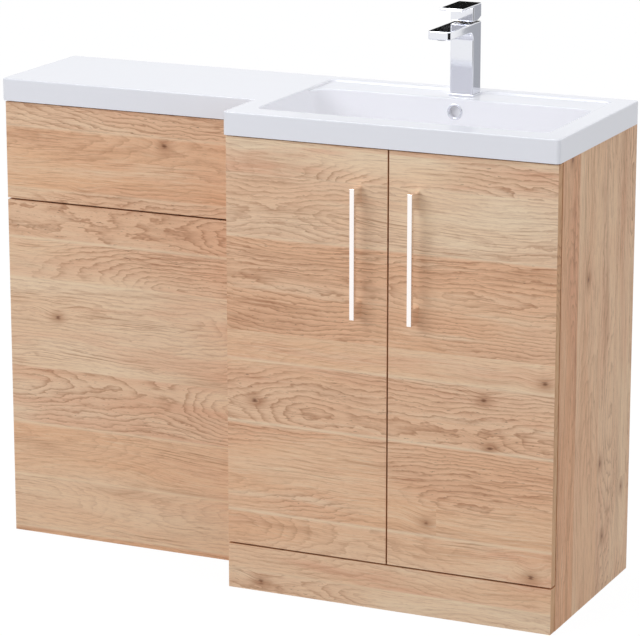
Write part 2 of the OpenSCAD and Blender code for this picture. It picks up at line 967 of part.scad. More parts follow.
// Arm on its mounting plate, with a forked nose that holds the link's first pin
module hinge_arm() {
    face = board + hinge_plate;
    nose_root = [face + 2.5, -9];
    nose_radius = 3;
    half = 8.5;
    arm = [7, 62];
    arm_back = -68;
    fork = [27, 12, 2 * link_half_width + 0.8];
    window = [8, 20, 2 * half - 4];
    plate_y = [-60, -22];
    plate_half = 26;
    difference() {
        translate([0, 0, -half]) linear_extrude(2 * half) {
            translate([face, arm_back]) square(arm);
            strip(nose_root, arm_pin, 2 * nose_radius - 0.6);
            translate(nose_root) circle(r = nose_radius);
            translate(arm_pin) circle(r = nose_radius);
        }
        translate([arm_pin[0] - 22, arm_pin[1] - nose_radius - 0.6, -fork[2] / 2]) cube(fork);
        translate([face + 1.5, arm_back + 6, -window[2] / 2]) cube(window);
    }
    translate([arm_pin[0], arm_pin[1], -half]) cylinder(r = link_pin_radius, h = 2 * half);
    difference() {
        block([board, plate_y[0], -plate_half], [face, plate_y[1], plate_half]);
        at_plate_screws() translate([-1, 0, 0]) along_x(plate_screw_radius, hinge_plate + 2);
    }
}

module hinge_arms() {
    color(steel) for (z = hinge_heights) {
        hinge_frame_left(z) hinge_arm();
        hinge_frame_right(z) hinge_arm();
    }
}

module at_plate_screws() {
    for (s = [-1, 1]) translate([board, plate_screw_y, s * plate_screw_offset]) children();
}

module plate_screw_holes() {
    at_plate_screws() translate([-plate_screw_depth, 0, 0]) along_x(plate_screw_radius, plate_screw_depth + 1);
}

module hinge_screw_holes() {
    for (z = hinge_heights) {
        hinge_frame_left(z) plate_screw_holes();
        hinge_frame_right(z) plate_screw_holes();
    }
}

module plate_screws() {
    head_radius = 4;
    head = 2;
    at_plate_screws() {
        translate([-plate_screw_depth, 0, 0]) along_x(plate_screw_radius, plate_screw_depth + hinge_plate);
        translate([hinge_plate, 0, 0]) along_x(head_radius, head);
    }
}

module hinge_screws() {
    color(steel) for (z = hinge_heights) {
        hinge_frame_left(z) plate_screws();
        hinge_frame_right(z) plate_screws();
    }
}

// ---- top and basin ----

// The bowl's form: drafted sides, a straight back wall and a rounded floor. grow makes it
// larger all round, for the outside of the wall.
module bowl_form(grow, top_z) {
    half = bowl_width / 2;
    floor_half = half - side_draft - floor_corner;
    corner_z = floor_z + floor_corner;
    hull() for (s = [-1, 1]) {
        translate([x_bowl + s * (half - front_corner), y_bowl_front + front_corner, top_z - 1]) {
            cylinder(r = front_corner + grow, h = 1, $fn = 32);
        }
        translate([x_bowl + s * (half - back_corner), y_bowl_back - back_corner, top_z - 1]) {
            cylinder(r = back_corner + grow, h = 1, $fn = 32);
        }
        translate([x_bowl + s * floor_half, y_bowl_front + front_draft + floor_corner, corner_z]) {
            sphere(r = floor_corner + grow, $fn = 32);
        }
        translate([x_bowl + s * floor_half, y_bowl_back - floor_corner, corner_z]) {
            sphere(r = floor_corner + grow, $fn = 32);
        }
    }
}

module top_outline() {
    rounded_rect([x_split - side_overhang, y_door - door_overhang],
                 [x_right + side_overhang, y_wall], corner_radius);
    rounded_rect([x_left - side_overhang, y_panel - panel_overhang],
                 [x_split + 3 * corner_radius, y_wall], corner_radius);
}

module ledge_outline() {
    half = bowl_width / 2;
    rounded_rect([x_bowl - half, y_bowl_front], [x_bowl + half, y_wall - back_rim], front_corner);
}

module basin_top() {
    y_channel = y_bowl_back + channel_setback;
    rib = channel_radius + channel_wall;
    color(gloss_white) difference() {
        union() {
            translate([0, 0, carcass_height]) linear_extrude(top_thickness) top_outline();
            bowl_form(bowl_wall, rim_z - 1);
            translate([x_bowl, y_waste, boss_z]) cylinder(r = boss_radius, h = boss_depth);
            block([x_bowl - rib, y_waste, boss_z], [x_bowl + rib, y_channel + rib, floor_z]);
            block([x_bowl - rib, y_bowl_back, boss_z], [x_bowl + rib, y_channel + rib, carcass_height + 1]);
        }
        bowl_form(0, rim_z + 1);
        translate([0, 0, ledge_z]) linear_extrude(ledge_drop + 1) ledge_outline();
        translate([x_bowl, y_tap, carcass_height - 1]) cylinder(r = tap_hole_radius, h = top_thickness + 2);
        translate([x_bowl, y_waste, boss_z - 1]) {
            cylinder(r = waste_thread_radius + waste_hole_clearance, h = boss_depth + 10);
        }
        translate([x_bowl, y_waste, floor_z - flange_sink])
            cylinder(r = flange_radius + 1, h = flange_sink + 6);
        translate([x_bowl, y_bowl_back - 5, overflow_z]) along_y(overflow_radius, channel_setback + 5);
        translate([x_bowl, y_channel, channel_z]) {
            cylinder(r = channel_radius, h = overflow_z - channel_z + channel_radius);
        }
        translate([x_bowl, y_waste, channel_z]) along_y(channel_radius, y_channel - y_waste);
    }
}

module overflow_ring() {
    color(chrome) translate([x_bowl, y_bowl_back - ring_seat, overflow_z]) difference() {
        union() {
            translate([0, -ring_lip, 0]) along_y(ring_radius, ring_lip);
            along_y(overflow_radius, ring_sleeve);
        }
        translate([0, -ring_lip - 1, 0]) along_y(ring_bore, ring_lip + ring_sleeve + 2);
    }
}

// ---- waste and trap ----

module waste_flange() {
    thread_end = floor_z - waste_length;
    slot = [2 * channel_radius, 60, 2 * channel_radius];
    bridge_z = floor_z - 32;
    bridge = [2 * waste_bore_radius + 2, 6, 4];
    stem_clearance = 0.1;
    color(chrome) translate([x_bowl, y_waste, 0]) {
        difference() {
            union() {
                translate([0, 0, floor_z - flange_thickness]) cylinder(r = flange_radius, h = flange_thickness);
                translate([0, 0, thread_end]) cylinder(r = waste_thread_radius, h = waste_length - 1);
            }
            translate([0, 0, thread_end - 1]) cylinder(r = waste_bore_radius, h = waste_length + 2);
            translate([-slot[0] / 2, -slot[1] / 2, channel_z - slot[2] / 2]) cube(slot);
        }
        difference() {
            translate([-bridge[0] / 2, -bridge[1] / 2, bridge_z]) cube(bridge);
            translate([0, 0, bridge_z - 1]) cylinder(r = plug_stem_radius + stem_clearance, h = bridge[2] + 2);
        }
    }
}

module waste_plug() {
    gap = 0.3;
    disc = 4.2;
    guide_radius = 4.5;
    guide_end = 27.8;
    stem_end = 44;
    color(chrome) translate([x_bowl, y_waste, floor_z]) {
        translate([0, 0, -gap - disc]) cylinder(r = waste_bore_radius - 0.5, h = disc);
        translate([0, 0, -guide_end]) cylinder(r = guide_radius, h = guide_end - gap - disc + 1);
        translate([0, 0, -stem_end]) cylinder(r = plug_stem_radius, h = stem_end - guide_end + 1);
    }
}

module waste_seals() {
    inner = waste_thread_radius + 0.1;
    top_seal = flange_sink - flange_thickness;
    color(black_rubber) translate([x_bowl, y_waste, 0]) {
        translate([0, 0, floor_z - flange_thickness - top_seal]) tube(flange_radius - 1, inner, top_seal);
        translate([0, 0, boss_z - seal_thickness]) tube(flange_radius, inner, seal_thickness);
    }
}

module waste_backnut() {
    color(chrome) translate([x_bowl, y_waste, boss_z - seal_thickness - backnut_height]) difference() {
        cylinder(r = flange_radius + 3, h = backnut_height, $fn = 6);
        translate([0, 0, -1]) cylinder(r = waste_thread_radius, h = backnut_height + 2);
    }
}

module waste_tail() {
    thread_end = floor_z - waste_length;
    inner = pipe_radius - pipe_wall;
    collar = [waste_thread_radius + 3, 14];
    collar_floor = 5;
    drop = thread_end - collar_floor - tail_z;
    color(chrome) translate([x_bowl, y_waste, thread_end - collar_floor]) {
        difference() {
            cylinder(r = collar[0], h = collar[1]);
            translate([0, 0, collar_floor]) cylinder(r = waste_thread_radius, h = collar[1]);
            translate([0, 0, -1]) cylinder(r = inner, h = collar[1]);
        }
        translate([0, 0, -drop]) tube(pipe_radius, inner, drop);
    }
}

// Body of the bottle trap, with its dip tube and its side outlet
module trap_body() {
    height = trap_top_z - trap_bottom_z;
    shell = 2.5;
    dip_radius = pipe_radius - 1;
    dip_bore = pipe_radius - 3;
    color(chrome) translate([x_bowl, y_waste, 0]) difference() {
        union() {
            translate([0, 0, trap_bottom_z]) cylinder(r = trap_radius, h = height);
            translate([0, 0, trap_top_z]) cylinder(r = socket_radius, h = socket_height);
            translate([0, 0, trap_outlet_z]) along_y(socket_radius, trap_radius + outlet_boss);
        }
        difference() {
            translate([0, 0, trap_bottom_z - 1]) cylinder(r = trap_radius - shell, h = height - 2);
            translate([0, 0, trap_bottom_z - 2]) cylinder(r = dip_radius, h = height + 2);
        }
        translate([0, 0, trap_bottom_z - 2]) cylinder(r = dip_bore, h = height + socket_height + 4);
        translate([0, 0, tail_z]) cylinder(r = pipe_radius + running_clearance, h = socket_height + 6);
        translate([0, trap_radius, trap_outlet_z]) along_y(pipe_radius + running_clearance, outlet_boss + 4);
        translate([0, trap_radius - 2 * shell, trap_outlet_z]) along_y(dip_bore, 4 * shell);
    }
}

module trap_cup() {
    height = 38;
    drop = 24;
    shell = 3;
    color(chrome) translate([x_bowl, y_waste, trap_bottom_z - drop]) difference() {
        cylinder(r = trap_radius + shell, h = height);
        translate([0, 0, shell]) cylinder(r = trap_radius - shell, h = height);
        translate([0, 0, drop]) cylinder(r = trap_radius, h = height);
    }
}

module pipe_nut() {
    grip = 3;
    skirt = 12;
    cap = 5;
    tube(socket_radius + grip, pipe_radius + running_clearance, cap);
    translate([0, 0, -skirt]) tube(socket_radius + grip, socket_radius, skirt);
}

module trap_nuts() {
    color(chrome) translate([x_bowl, y_waste, 0]) {
        translate([0, 0, trap_top_z + socket_height]) pipe_nut();
        translate([0, trap_radius + outlet_boss, trap_outlet_z]) rotate([-90, 0, 0]) pipe_nut();
    }
}

module trap_outlet() {
    start = y_waste + trap_radius + 2;
    length = y_wall - trap_end_gap - start;
    bead = [pipe_radius + 1, 2];
    color(chrome) translate([x_bowl, start, trap_outlet_z]) rotate([-90, 0, 0]) {
        tube(pipe_radius, pipe_radius - pipe_wall, length);
        translate([0, 0, length - spigot_length - bead[1]]) tube(bead[0], pipe_radius - pipe_wall, bead[1]);
    }
}

// ---- tap ----

module spout_profile() {
    half = tap_width / 2;
    front = -tap_depth / 2 - spout_reach;
    translate([-half, front + spout_corner]) square([tap_width, spout_reach - spout_corner + 1]);
    translate([-half + spout_corner, front]) square([tap_width - 2 * spout_corner, spout_reach]);
    for (s = [-1, 1]) translate([s * (half - spout_corner), front + spout_corner]) circle(r = spout_corner);
}

// Body and spout in one casting, bored for the cartridge, the water and the fixings
module tap_body() {
    half = [tap_width / 2, tap_depth / 2];
    foot = [half[0] + tap_foot_lip, half[1] + tap_foot_lip];
    groove = [half[0] - gasket_inset, half[1] - gasket_inset];
    blend = 16;
    spout_z = tap_top - spout_thickness;
    aerator_y = -half[1] - spout_reach + aerator_inset;
    well = cartridge_height + cartridge_drop;
    way = [4, 3];
    color(chrome) translate([x_bowl, y_tap, 0]) difference() {
        union() {
            difference() {
                union() {
                    block([-half[0], -half[1], ledge_z], [half[0], half[1], tap_top]);
                    block([-foot[0], -foot[1], ledge_z], [foot[0], foot[1], ledge_z + tap_foot_height]);
                }
                block([-groove[0], -groove[1], ledge_z - 1],
                    [groove[0], groove[1], ledge_z + gasket_thickness]);
            }
            translate([0, 0, spout_z]) linear_extrude(spout_thickness) spout_profile();
            difference() {
                block([-half[0], -half[1] - blend, spout_z - blend], [half[0], -half[1], spout_z]);
                translate([-half[0] - 1, -half[1] - blend, spout_z - blend]) along_x(blend, tap_width + 2);
            }
            translate([0, 0, ledge_z - shank_length]) {
                cylinder(r = shank_radius, h = shank_length + gasket_thickness);
            }
        }
        translate([0, 0, tap_top - well]) cylinder(r = cartridge_radius, h = well + 1);
        translate([0, aerator_y, tap_top - spout_thickness / 2]) {
            along_y(way[0], spout_reach - aerator_inset + 10);
        }
        translate([0, aerator_y, spout_z - 1]) cylinder(r = aerator_radius, h = 5);
        translate([0, aerator_y, spout_z - 1]) cylinder(r = way[0], h = 9);
        for (s = [-1, 1]) translate([s * tail_spacing / 2, -tail_offset, ledge_z - shank_length - 1]) {
            cylinder(r = tail_thread_radius, h = tail_thread_depth + 1);
            cylinder(r = way[1], h = tap_height - well + shank_length + 2);
        }
        translate([0, stud_offset, ledge_z - shank_length - 1]) {
            cylinder(r = stud_radius, h = stud_thread_depth + 2);
        }
    }
}

module tap_gasket() {
    half = [tap_width / 2 - gasket_inset, tap_depth / 2 - gasket_inset];
    color(black_rubber) translate([x_bowl, y_tap, ledge_z]) difference() {
        block([-half[0], -half[1], 0], [half[0], half[1], gasket_thickness]);
        translate([0, 0, -1]) cylinder(r = shank_radius, h = gasket_thickness + 2);
    }
}

// Stud, horseshoe washer and nut under the basin
module tap_clamp() {
    washer = 3;
    washer_radius = 20;
    slot = [22, 33];
    hose_clearance = 2.5;
    nut = [7.5, 8];
    stud_top = ledge_z - shank_length + stud_thread_depth;
    color(brass) translate([x_bowl, y_tap, carcass_height]) {
        translate([0, stud_offset, -stud_end]) {
            cylinder(r = stud_radius, h = stud_top - carcass_height + stud_end);
        }
        translate([0, 0, -washer]) difference() {
            cylinder(r = washer_radius, h = washer);
            translate([-slot[0] / 2, 3 - slot[1], -1]) cube([slot[0], slot[1], washer + 2]);
            translate([0, stud_offset, -1]) cylinder(r = stud_radius, h = washer + 2);
            for (s = [-1, 1]) translate([s * tail_spacing / 2, -tail_offset, -1]) {
                cylinder(r = tail_thread_radius + hose_clearance, h = washer + 2);
            }
        }
        translate([0, stud_offset, -washer - nut[1]]) difference() {
            cylinder(r = nut[0], h = nut[1], $fn = 6);
            translate([0, 0, -1]) cylinder(r = stud_radius, h = nut[1] + 2);
        }
    }
}

module tap_cartridge() {
    neck = 6.5;
    socket = 13;
    color(white_plastic) translate([x_bowl, y_tap, tap_top - cartridge_drop]) difference() {
        union() {
            translate([0, 0, -cartridge_height]) cylinder(r = cartridge_radius - 0.2, h = cartridge_height);
            cylinder(r = neck_radius, h = neck);
        }
        translate([0, 0, cartridge_drop - socket]) {
            cylinder(r = spindle_radius + running_clearance, h = socket + 1);
        }
    }
}

module cartridge_nut() {
    color(brass) translate([x_bowl, y_tap, tap_top - cartridge_drop]) {
        tube(cartridge_radius, neck_radius, cartridge_drop - 1);
    }
}

// Upright that turns in the cartridge, with the cross pin that the lever tilts on
module tap_spindle() {
    sunk = 12.8;
    disc = [9, 1.5];
    post = [10, 8];
    color(steel) translate([x_bowl, y_tap, tap_top]) {
        translate([0, 0, -sunk]) cylinder(r = spindle_radius, h = sunk + 1);
        cylinder(r = disc[0], h = disc[1]);
        translate([-post[0] / 2, -post[1] / 2, 1]) cube([post[0], post[1], lever_pivot + 3]);
        translate([-lever_pin_length / 2, 0, lever_pivot]) along_x(pivot_radius, lever_pin_length);
    }
}

module tap_lever() {
    half = tap_width / 2;
    back = tap_depth / 2;
    base = lever_gap;
    top = base + lever_block;
    hollow = [15, 13];
    roof = 4;
    bore = lever_pin_length + 0.4;
    color(chrome) translate([x_bowl, y_tap, tap_top]) difference() {
        union() {
            translate([-half, 0, 0]) rotate([90, 0, 90]) linear_extrude(tap_width) polygon([
                [-back, base], [back - lever_relief_length, base], [back, base + lever_relief_height],
                [back, top], [-back, top]
            ]);
            block([-half, back - lever_length, top], [half, back, top + lever_plate]);
        }
        block([-hollow[0], -hollow[1], base - 1], [hollow[0], hollow[1], top - roof]);
        translate([-bore / 2, 0, lever_pivot]) along_x(pivot_radius + running_clearance, bore);
    }
}

module tap_aerator() {
    aerator_y = y_tap - tap_depth / 2 - spout_reach + aerator_inset;
    proud = 2;
    height = 6;
    cup = [7.5, 3];
    hole_ring = 4;
    hole_radius = 1.2;
    color(steel) translate([x_bowl, aerator_y, tap_top - spout_thickness - proud]) difference() {
        cylinder(r = aerator_radius, h = height);
        translate([0, 0, -1]) cylinder(r = cup[0], h = cup[1] + 1);
        for (a = [0:60:300]) rotate([0, 0, a]) translate([hole_ring, 0, 1]) {
            cylinder(r = hole_radius, h = height + 2);
        }
    }
}

wc_side_left();
wc_side_right();
wc_front_panel();
wc_access_panel();
wc_front_rails();
wc_back_rails();
fixing_blocks();
clip_studs();
clip_sockets();
cistern_tank();
cistern_lid();
cistern_screws();
flush_valve();
flush_plunger();
fill_valve();
fill_float();
flush_pipe();
vanity_side_left();
vanity_side_right();
vanity_base();
vanity_shelf();
shelf_pegs();
vanity_front_rail();
vanity_back_rails();
plinth();
door_left();
door_right();
handle_left();
handle_right();
door_screws_left();
door_screws_right();
hinge_cups_left();
hinge_cups_right();
hinge_links_left();
hinge_links_right();
hinge_arms();
hinge_screws();
door_buffers();
cam_locks();
cam_bolts();
joining_bolts();
basin_top();
overflow_ring();
waste_flange();
waste_plug();
waste_tail();
waste_seals();
waste_backnut();
trap_body();
trap_cup();
trap_nuts();
trap_outlet();
tap_body();
tap_lever();
tap_spindle();
tap_cartridge();
cartridge_nut();
tap_aerator();
tap_gasket();
tap_clamp();
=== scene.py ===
import math

import bpy
from bpy.props import FloatProperty, FloatVectorProperty, PointerProperty
from mathutils import Matrix, Vector


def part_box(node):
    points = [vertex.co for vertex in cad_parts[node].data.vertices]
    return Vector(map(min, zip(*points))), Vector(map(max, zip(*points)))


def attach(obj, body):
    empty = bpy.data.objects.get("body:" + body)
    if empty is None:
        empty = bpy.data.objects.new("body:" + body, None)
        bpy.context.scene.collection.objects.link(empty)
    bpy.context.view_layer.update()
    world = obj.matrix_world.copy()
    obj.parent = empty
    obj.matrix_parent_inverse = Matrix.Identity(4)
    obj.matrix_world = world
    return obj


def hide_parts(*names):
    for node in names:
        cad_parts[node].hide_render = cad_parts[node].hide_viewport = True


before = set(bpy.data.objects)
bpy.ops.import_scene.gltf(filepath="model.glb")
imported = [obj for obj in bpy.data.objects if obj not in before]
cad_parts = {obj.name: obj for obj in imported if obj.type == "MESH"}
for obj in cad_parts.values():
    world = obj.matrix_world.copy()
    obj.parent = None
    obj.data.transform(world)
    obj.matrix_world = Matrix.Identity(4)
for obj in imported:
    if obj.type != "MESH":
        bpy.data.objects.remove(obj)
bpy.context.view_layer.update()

bl_info = {
    "name": "Toilet and basin combination unit",
    "version": (1, 0, 0),
    "blender": (4, 5, 0),
    "location": "View3D > Sidebar > Washroom",
    "description": "Models and finishes a toilet housing and vanity with a moulded basin and a lever tap",
    "category": "Object",
}

# In metres: two places closer than HAIR are one, and two closer than NEAR are on one line
HAIR = 0.00001
NEAR = 0.0001


# ---- colours ----

def linear(red, green, blue):
    """A screen colour in 0 to 255 as the linear colour that shaders use."""
    def one(value):
        part = value / 255
        return part / 12.92 if part <= 0.04045 else ((part + 0.055) / 1.055) ** 2.4
    return (one(red), one(green), one(blue), 1.0)


# ---- settings ----

def colour_setting(name, description, default, size=4):
    """A colour for the panel."""
    return FloatVectorProperty(
        name=name, description=description, subtype="COLOR", size=size, min=0, max=1, default=default)


def length_setting(name, description, default, low, high):
    """A length in metres for the panel."""
    return FloatProperty(
        name=name, description=description, default=default, min=low, max=high,
        subtype="DISTANCE", unit="LENGTH")


def power_setting(name, description, default):
    """A lamp's power in watts for the panel."""
    return FloatProperty(name=name, description=description, default=default, min=0, unit="POWER")


class WoodSettings(bpy.types.PropertyGroup):
    """The oak laminate of the boards."""
    plank: length_setting("Plank width", "Mean height of a printed plank", 0.108, 0.05, 0.3)
    light: colour_setting("Light oak", "Colour of the palest planks", linear(255, 229, 194))
    warm: colour_setting("Warm oak", "Colour of the deeper planks", linear(248, 200, 158))
    rosy: colour_setting("Rosy oak", "Colour of the reddish patches", linear(240, 187, 151))
    ring: colour_setting("Ring", "Colour of the growth rings", linear(170, 112, 77))
    knot: colour_setting("Knot", "Colour of the knots", linear(118, 78, 56))
    # Painted shade: this tint darkens and warms the laminate on every edge face, so that the gaps between
    # the boards read dark
    painted_edge_shade: colour_setting(
        "Painted edge shade", "Painted shade that darkens and warms the laminate on the edge faces", (0.78, 0.64, 0.51, 1.0))


class BasinSettings(bpy.types.PropertyGroup):
    """The one-piece top with its basin."""
    edge: length_setting("Edge radius", "Rounding of the rims and of the top's edge", 0.0024, 0.0005, 0.004)
    colour: colour_setting("Gel coat", "Colour of the gloss surface", linear(251, 249, 250))
    gloss: FloatProperty(
        name="Roughness", description="Roughness of the gloss surface", default=0.12, min=0, max=1)


class TapSettings(bpy.types.PropertyGroup):
    """The chromed tap, handles and waste."""
    chrome: colour_setting("Chrome", "Colour of the plating", (0.84, 0.85, 0.895, 1.0))
    handle: colour_setting("Handle chrome", "Colour of the handles' plating", (1.0, 0.94, 0.905, 1.0))
    edge: length_setting("Edge radius", "Rounding of the tap's edges", 0.0021, 0.0003, 0.003)
    handle_edge: length_setting("Handle edge", "Rounding of the handles' edges", 0.0007, 0.0002, 0.002)


class StudioSettings(bpy.types.PropertyGroup):
    """Camera, lamps and the light from all round."""
    lens: FloatProperty(
        name="Lens", description="Focal length on a 36 mm sensor", default=177.42, min=20, max=400)
    key: power_setting("Key lamp", "Power of the large front lamp", 54.5)
    fill: power_setting("Fill lamp", "Power of the lamp on the right", 16)
    top: power_setting("Top lamp", "Power of the lamp overhead", 23)
    ambient: FloatProperty(
        name="Ambient", description="Strength of the light from all round", default=0.56, min=0, max=2)
    cool: colour_setting("Lamp colour", "Slightly cool colour of all the light", (0.90, 0.935, 1.0), 3)


SETTINGS = {
    "washroom_wood": WoodSettings,
    "washroom_basin": BasinSettings,
    "washroom_tap": TapSettings,
    "washroom_studio": StudioSettings,
}


# ---- modelling by hand ----

# In degrees: edges that turn more are rounded, on the modelled pieces and on the CAD's
MODEL_TURN = 32
CAD_TURN = 50


def settle(name, size=(1, 1, 1)):
    """Names the solid that was just added and sets its size and place into its mesh."""
    piece = bpy.context.object
    piece.name = name
    piece.scale = size
    bpy.ops.object.transform_apply(location=True, rotation=True, scale=True)
    return piece


def start_block(name, low, high):
    """A box between two corners, from which a piece is shaped."""
    low, high = Vector(low), Vector(high)
    bpy.ops.object.select_all(action="DESELECT")
    bpy.ops.mesh.primitive_cube_add(size=1, location=(low + high) / 2)
    return settle(name, high - low)


def start_plate(name, low, high, z):
    """A flat rectangle at height z, from which a piece is drawn out."""
    bpy.ops.object.select_all(action="DESELECT")
    centre = ((low[0] + high[0]) / 2, (low[1] + high[1]) / 2, z)
    bpy.ops.mesh.primitive_plane_add(size=1, location=centre)
    return settle(name, (high[0] - low[0], high[1] - low[1], 1))


def start_rod(name, centre, radius, length, axis="Z", sides=64):
    """A round bar, centred, upright or along Y."""
    turn = {"Y": (math.pi / 2, 0, 0), "Z": (0, 0, 0)}[axis]
    bpy.ops.object.select_all(action="DESELECT")
    bpy.ops.mesh.primitive_cylinder_add(
        vertices=sides, radius=radius, depth=length, location=centre, rotation=turn)
    return settle(name)


def leave_edit():
    """Goes back to object mode."""
    if bpy.context.object and bpy.context.object.mode == "EDIT":
        bpy.ops.object.mode_set(mode="OBJECT")


def choose(piece, kind, test):
    """Goes into edit mode with only the faces, edges or corners that pass the test selected."""
    leave_edit()
    bpy.ops.object.select_all(action="DESELECT")
    piece.select_set(True)
    bpy.context.view_layer.objects.active = piece
    bpy.ops.object.mode_set(mode="EDIT")
    bpy.ops.mesh.select_mode(type=kind)
    bpy.ops.mesh.select_all(action="DESELECT")
    bpy.ops.object.mode_set(mode="OBJECT")
    mesh = piece.data
    if kind == "FACE":
        for face in mesh.polygons:
            face.select = test(face.center, face.normal)
    elif kind == "EDGE":
        for edge in mesh.edges:
            edge.select = test(mesh.vertices[edge.vertices[0]].co, mesh.vertices[edge.vertices[1]].co)
    else:
        for corner in mesh.vertices:
            corner.select = test(corner.co)
    bpy.ops.object.mode_set(mode="EDIT")


def choose_all(piece):
    """Goes into edit mode with everything selected."""
    choose(piece, "FACE", lambda centre, normal: True)


def round_where(piece, kind, test, width, segments):
    """Rounds the edges, or the corners of a flat plate, that pass the test."""
    affect = "VERTICES" if kind == "VERT" else "EDGES"
    choose(piece, kind, test)
    bpy.ops.mesh.bevel(offset=width, segments=segments, affect=affect, profile=0.5, clamp_overlap=False)
    leave_edit()


def extrude(x=0.0, y=0.0, z=0.0):
    """Draws the selected faces out."""
    bpy.ops.mesh.extrude_region_move(TRANSFORM_OT_translate={"value": (x, y, z)})


def draw_out(piece, test, **move):
    """Draws out the faces that pass the test."""
    choose(piece, "FACE", test)
    extrude(**move)
    leave_edit()


def shift_where(piece, test, y):
    """Moves the corners that pass the test along Y."""
    choose(piece, "VERT", test)
    bpy.ops.transform.translate(value=(0, y, 0))
    leave_edit()


def slice_at(piece, point, normal):
    """Cuts a line round the piece in one plane, removing nothing."""
    choose_all(piece)
    bpy.ops.mesh.bisect(plane_co=point, plane_no=normal)
    leave_edit()


def merge_flats(piece):
    """Joins the faces that lie in one plane."""
    choose_all(piece)
    bpy.ops.mesh.dissolve_limited(angle_limit=0.01)
    leave_edit()


def tidy_mesh(piece):
    """Merges doubles and turns every face outwards."""
    choose_all(piece)
    bpy.ops.mesh.remove_doubles(threshold=HAIR)
    bpy.ops.mesh.normals_make_consistent(inside=False)
    leave_edit()


def join_shapes(piece, tool, how):
    """Adds a second solid to the piece, or takes it away, and drops the second solid."""
    mix = piece.modifiers.new("shape", "BOOLEAN")
    mix.operation = how
    mix.solver = "EXACT"
    mix.object = tool
    bpy.context.view_layer.objects.active = piece
    bpy.ops.object.modifier_apply(modifier=mix.name)
    bpy.data.objects.remove(tool, do_unlink=True)


def add_shape(piece, tool):
    """Melts a second solid into the piece."""
    join_shapes(piece, tool, "UNION")


def cut_shape(piece, tool):
    """Cuts a second solid out of the piece."""
    join_shapes(piece, tool, "DIFFERENCE")


def add_bevel(piece, width, segments, degrees):
    """Puts on a modifier that rounds every edge that turns more than the given angle."""
    soft = piece.modifiers.new("edges", "BEVEL")
    soft.width = width
    soft.segments = segments
    soft.limit_method = "ANGLE"
    soft.angle_limit = math.radians(degrees)
    soft.use_clamp_overlap = True
    return soft


def add_even_shading(piece):
    """Puts on a modifier that keeps flat faces flat beside rounded edges."""
    even = piece.modifiers.new("even", "WEIGHTED_NORMAL")
    even.keep_sharp = True
    return even


def round_edges(piece, width, segments):
    """Rounds every edge of a modelled piece, but not the shallow steps of its curves."""
    soft = add_bevel(piece, width, segments, MODEL_TURN)
    bpy.context.view_layer.objects.active = piece
    bpy.ops.object.modifier_apply(modifier=soft.name)


def smooth(piece, degrees=40):
    """Shades rounded places smooth and keeps flat faces flat."""
    bpy.ops.object.select_all(action="DESELECT")
    piece.select_set(True)
    bpy.context.view_layer.objects.active = piece
    bpy.ops.object.shade_smooth_by_angle(angle=math.radians(degrees))
    bpy.ops.object.modifier_apply(modifier=add_even_shading(piece).name)


def paint(piece, material):
    """Gives a piece one material in place of any that it has."""
    piece.data.materials.clear()
    piece.data.materials.append(bpy.data.materials[material])


def fit_in(piece, body, slot_name, material, *nodes):
    """Gives a finished piece its material, its body and the CAD nodes it stands for."""
    paint(piece, material)
    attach(piece, body)
    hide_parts(*nodes)


# ---- materials ----

# Where the mix node keeps its two inputs and its result, for each kind of data
MIX_SOCKETS = {"RGBA": (6, 7, 2), "VECTOR": (4, 5, 1)}


class Tree:
    """Adds and links shader nodes in one node tree."""

    def __init__(self, tree):
        self.tree = tree
        self.column = 0

    def add(self, kind, inputs=None, **settings):
        """A new node with its settings, and its inputs linked or set."""
        node = self.tree.nodes.new(kind)
        node.location = (self.column * 180, 0)
        self.column += 1
        for key, value in settings.items():
            setattr(node, key, value)
        for key, value in (inputs or {}).items():
            self.put(value, node.inputs[key])
        return node

    def put(self, value, socket):
        """Links an output to a socket, or sets the socket to a plain value."""
        if isinstance(value, bpy.types.NodeSocket):
            self.tree.links.new(value, socket)
        else:
            socket.default_value = value

    def math(self, operation, a, b=0.0, clamp=False):
        node = self.add("ShaderNodeMath", {0: a, 1: b}, operation=operation, use_clamp=clamp)
        return node.outputs[0]

    def plus(self, a, b, clamp=False):
        return self.math("ADD", a, b, clamp)

    def minus(self, a, b):
        return self.math("SUBTRACT", a, b)

    def times(self, a, b):
        return self.math("MULTIPLY", a, b)

    def noise(self, vector, detail=2.0, roughness=0.5, scale=1.0):
        node = self.add("ShaderNodeTexNoise", {
            "Vector": vector, "Scale": scale, "Detail": detail, "Roughness": roughness})
        return node.outputs["Fac"]

    def triple(self, x, y, z):
        return self.add("ShaderNodeCombineXYZ", {"X": x, "Y": y, "Z": z}).outputs[0]

    def mix(self, factor, a, b, kind="RGBA", blend="MIX"):
        first, second, mixed = MIX_SOCKETS[kind]
        node = self.add("ShaderNodeMix", {"Factor": factor}, data_type=kind, blend_type=blend)
        self.put(a, node.inputs[first])
        self.put(b, node.inputs[second])
        return node.outputs[mixed]

    def spread(self, value, low, high, to_low=0.0, to_high=1.0, smooth_ends=False):
        """Maps one range onto another, and holds its ends beyond them."""
        node = self.add("ShaderNodeMapRange", {
            "Value": value, "From Min": low, "From Max": high, "To Min": to_low, "To Max": to_high},
            clamp=True, interpolation_type="SMOOTHSTEP" if smooth_ends else "LINEAR")
        return node.outputs["Result"]

    def seen(self):
        """One for what the camera, mirrors and glass see, and nought for light that bounces softly."""
        path = self.add("ShaderNodeLightPath").outputs
        direct = self.math("MAXIMUM", path["Is Camera Ray"], path["Is Glossy Ray"])
        return self.math("MAXIMUM", direct, path["Is Transmission Ray"])


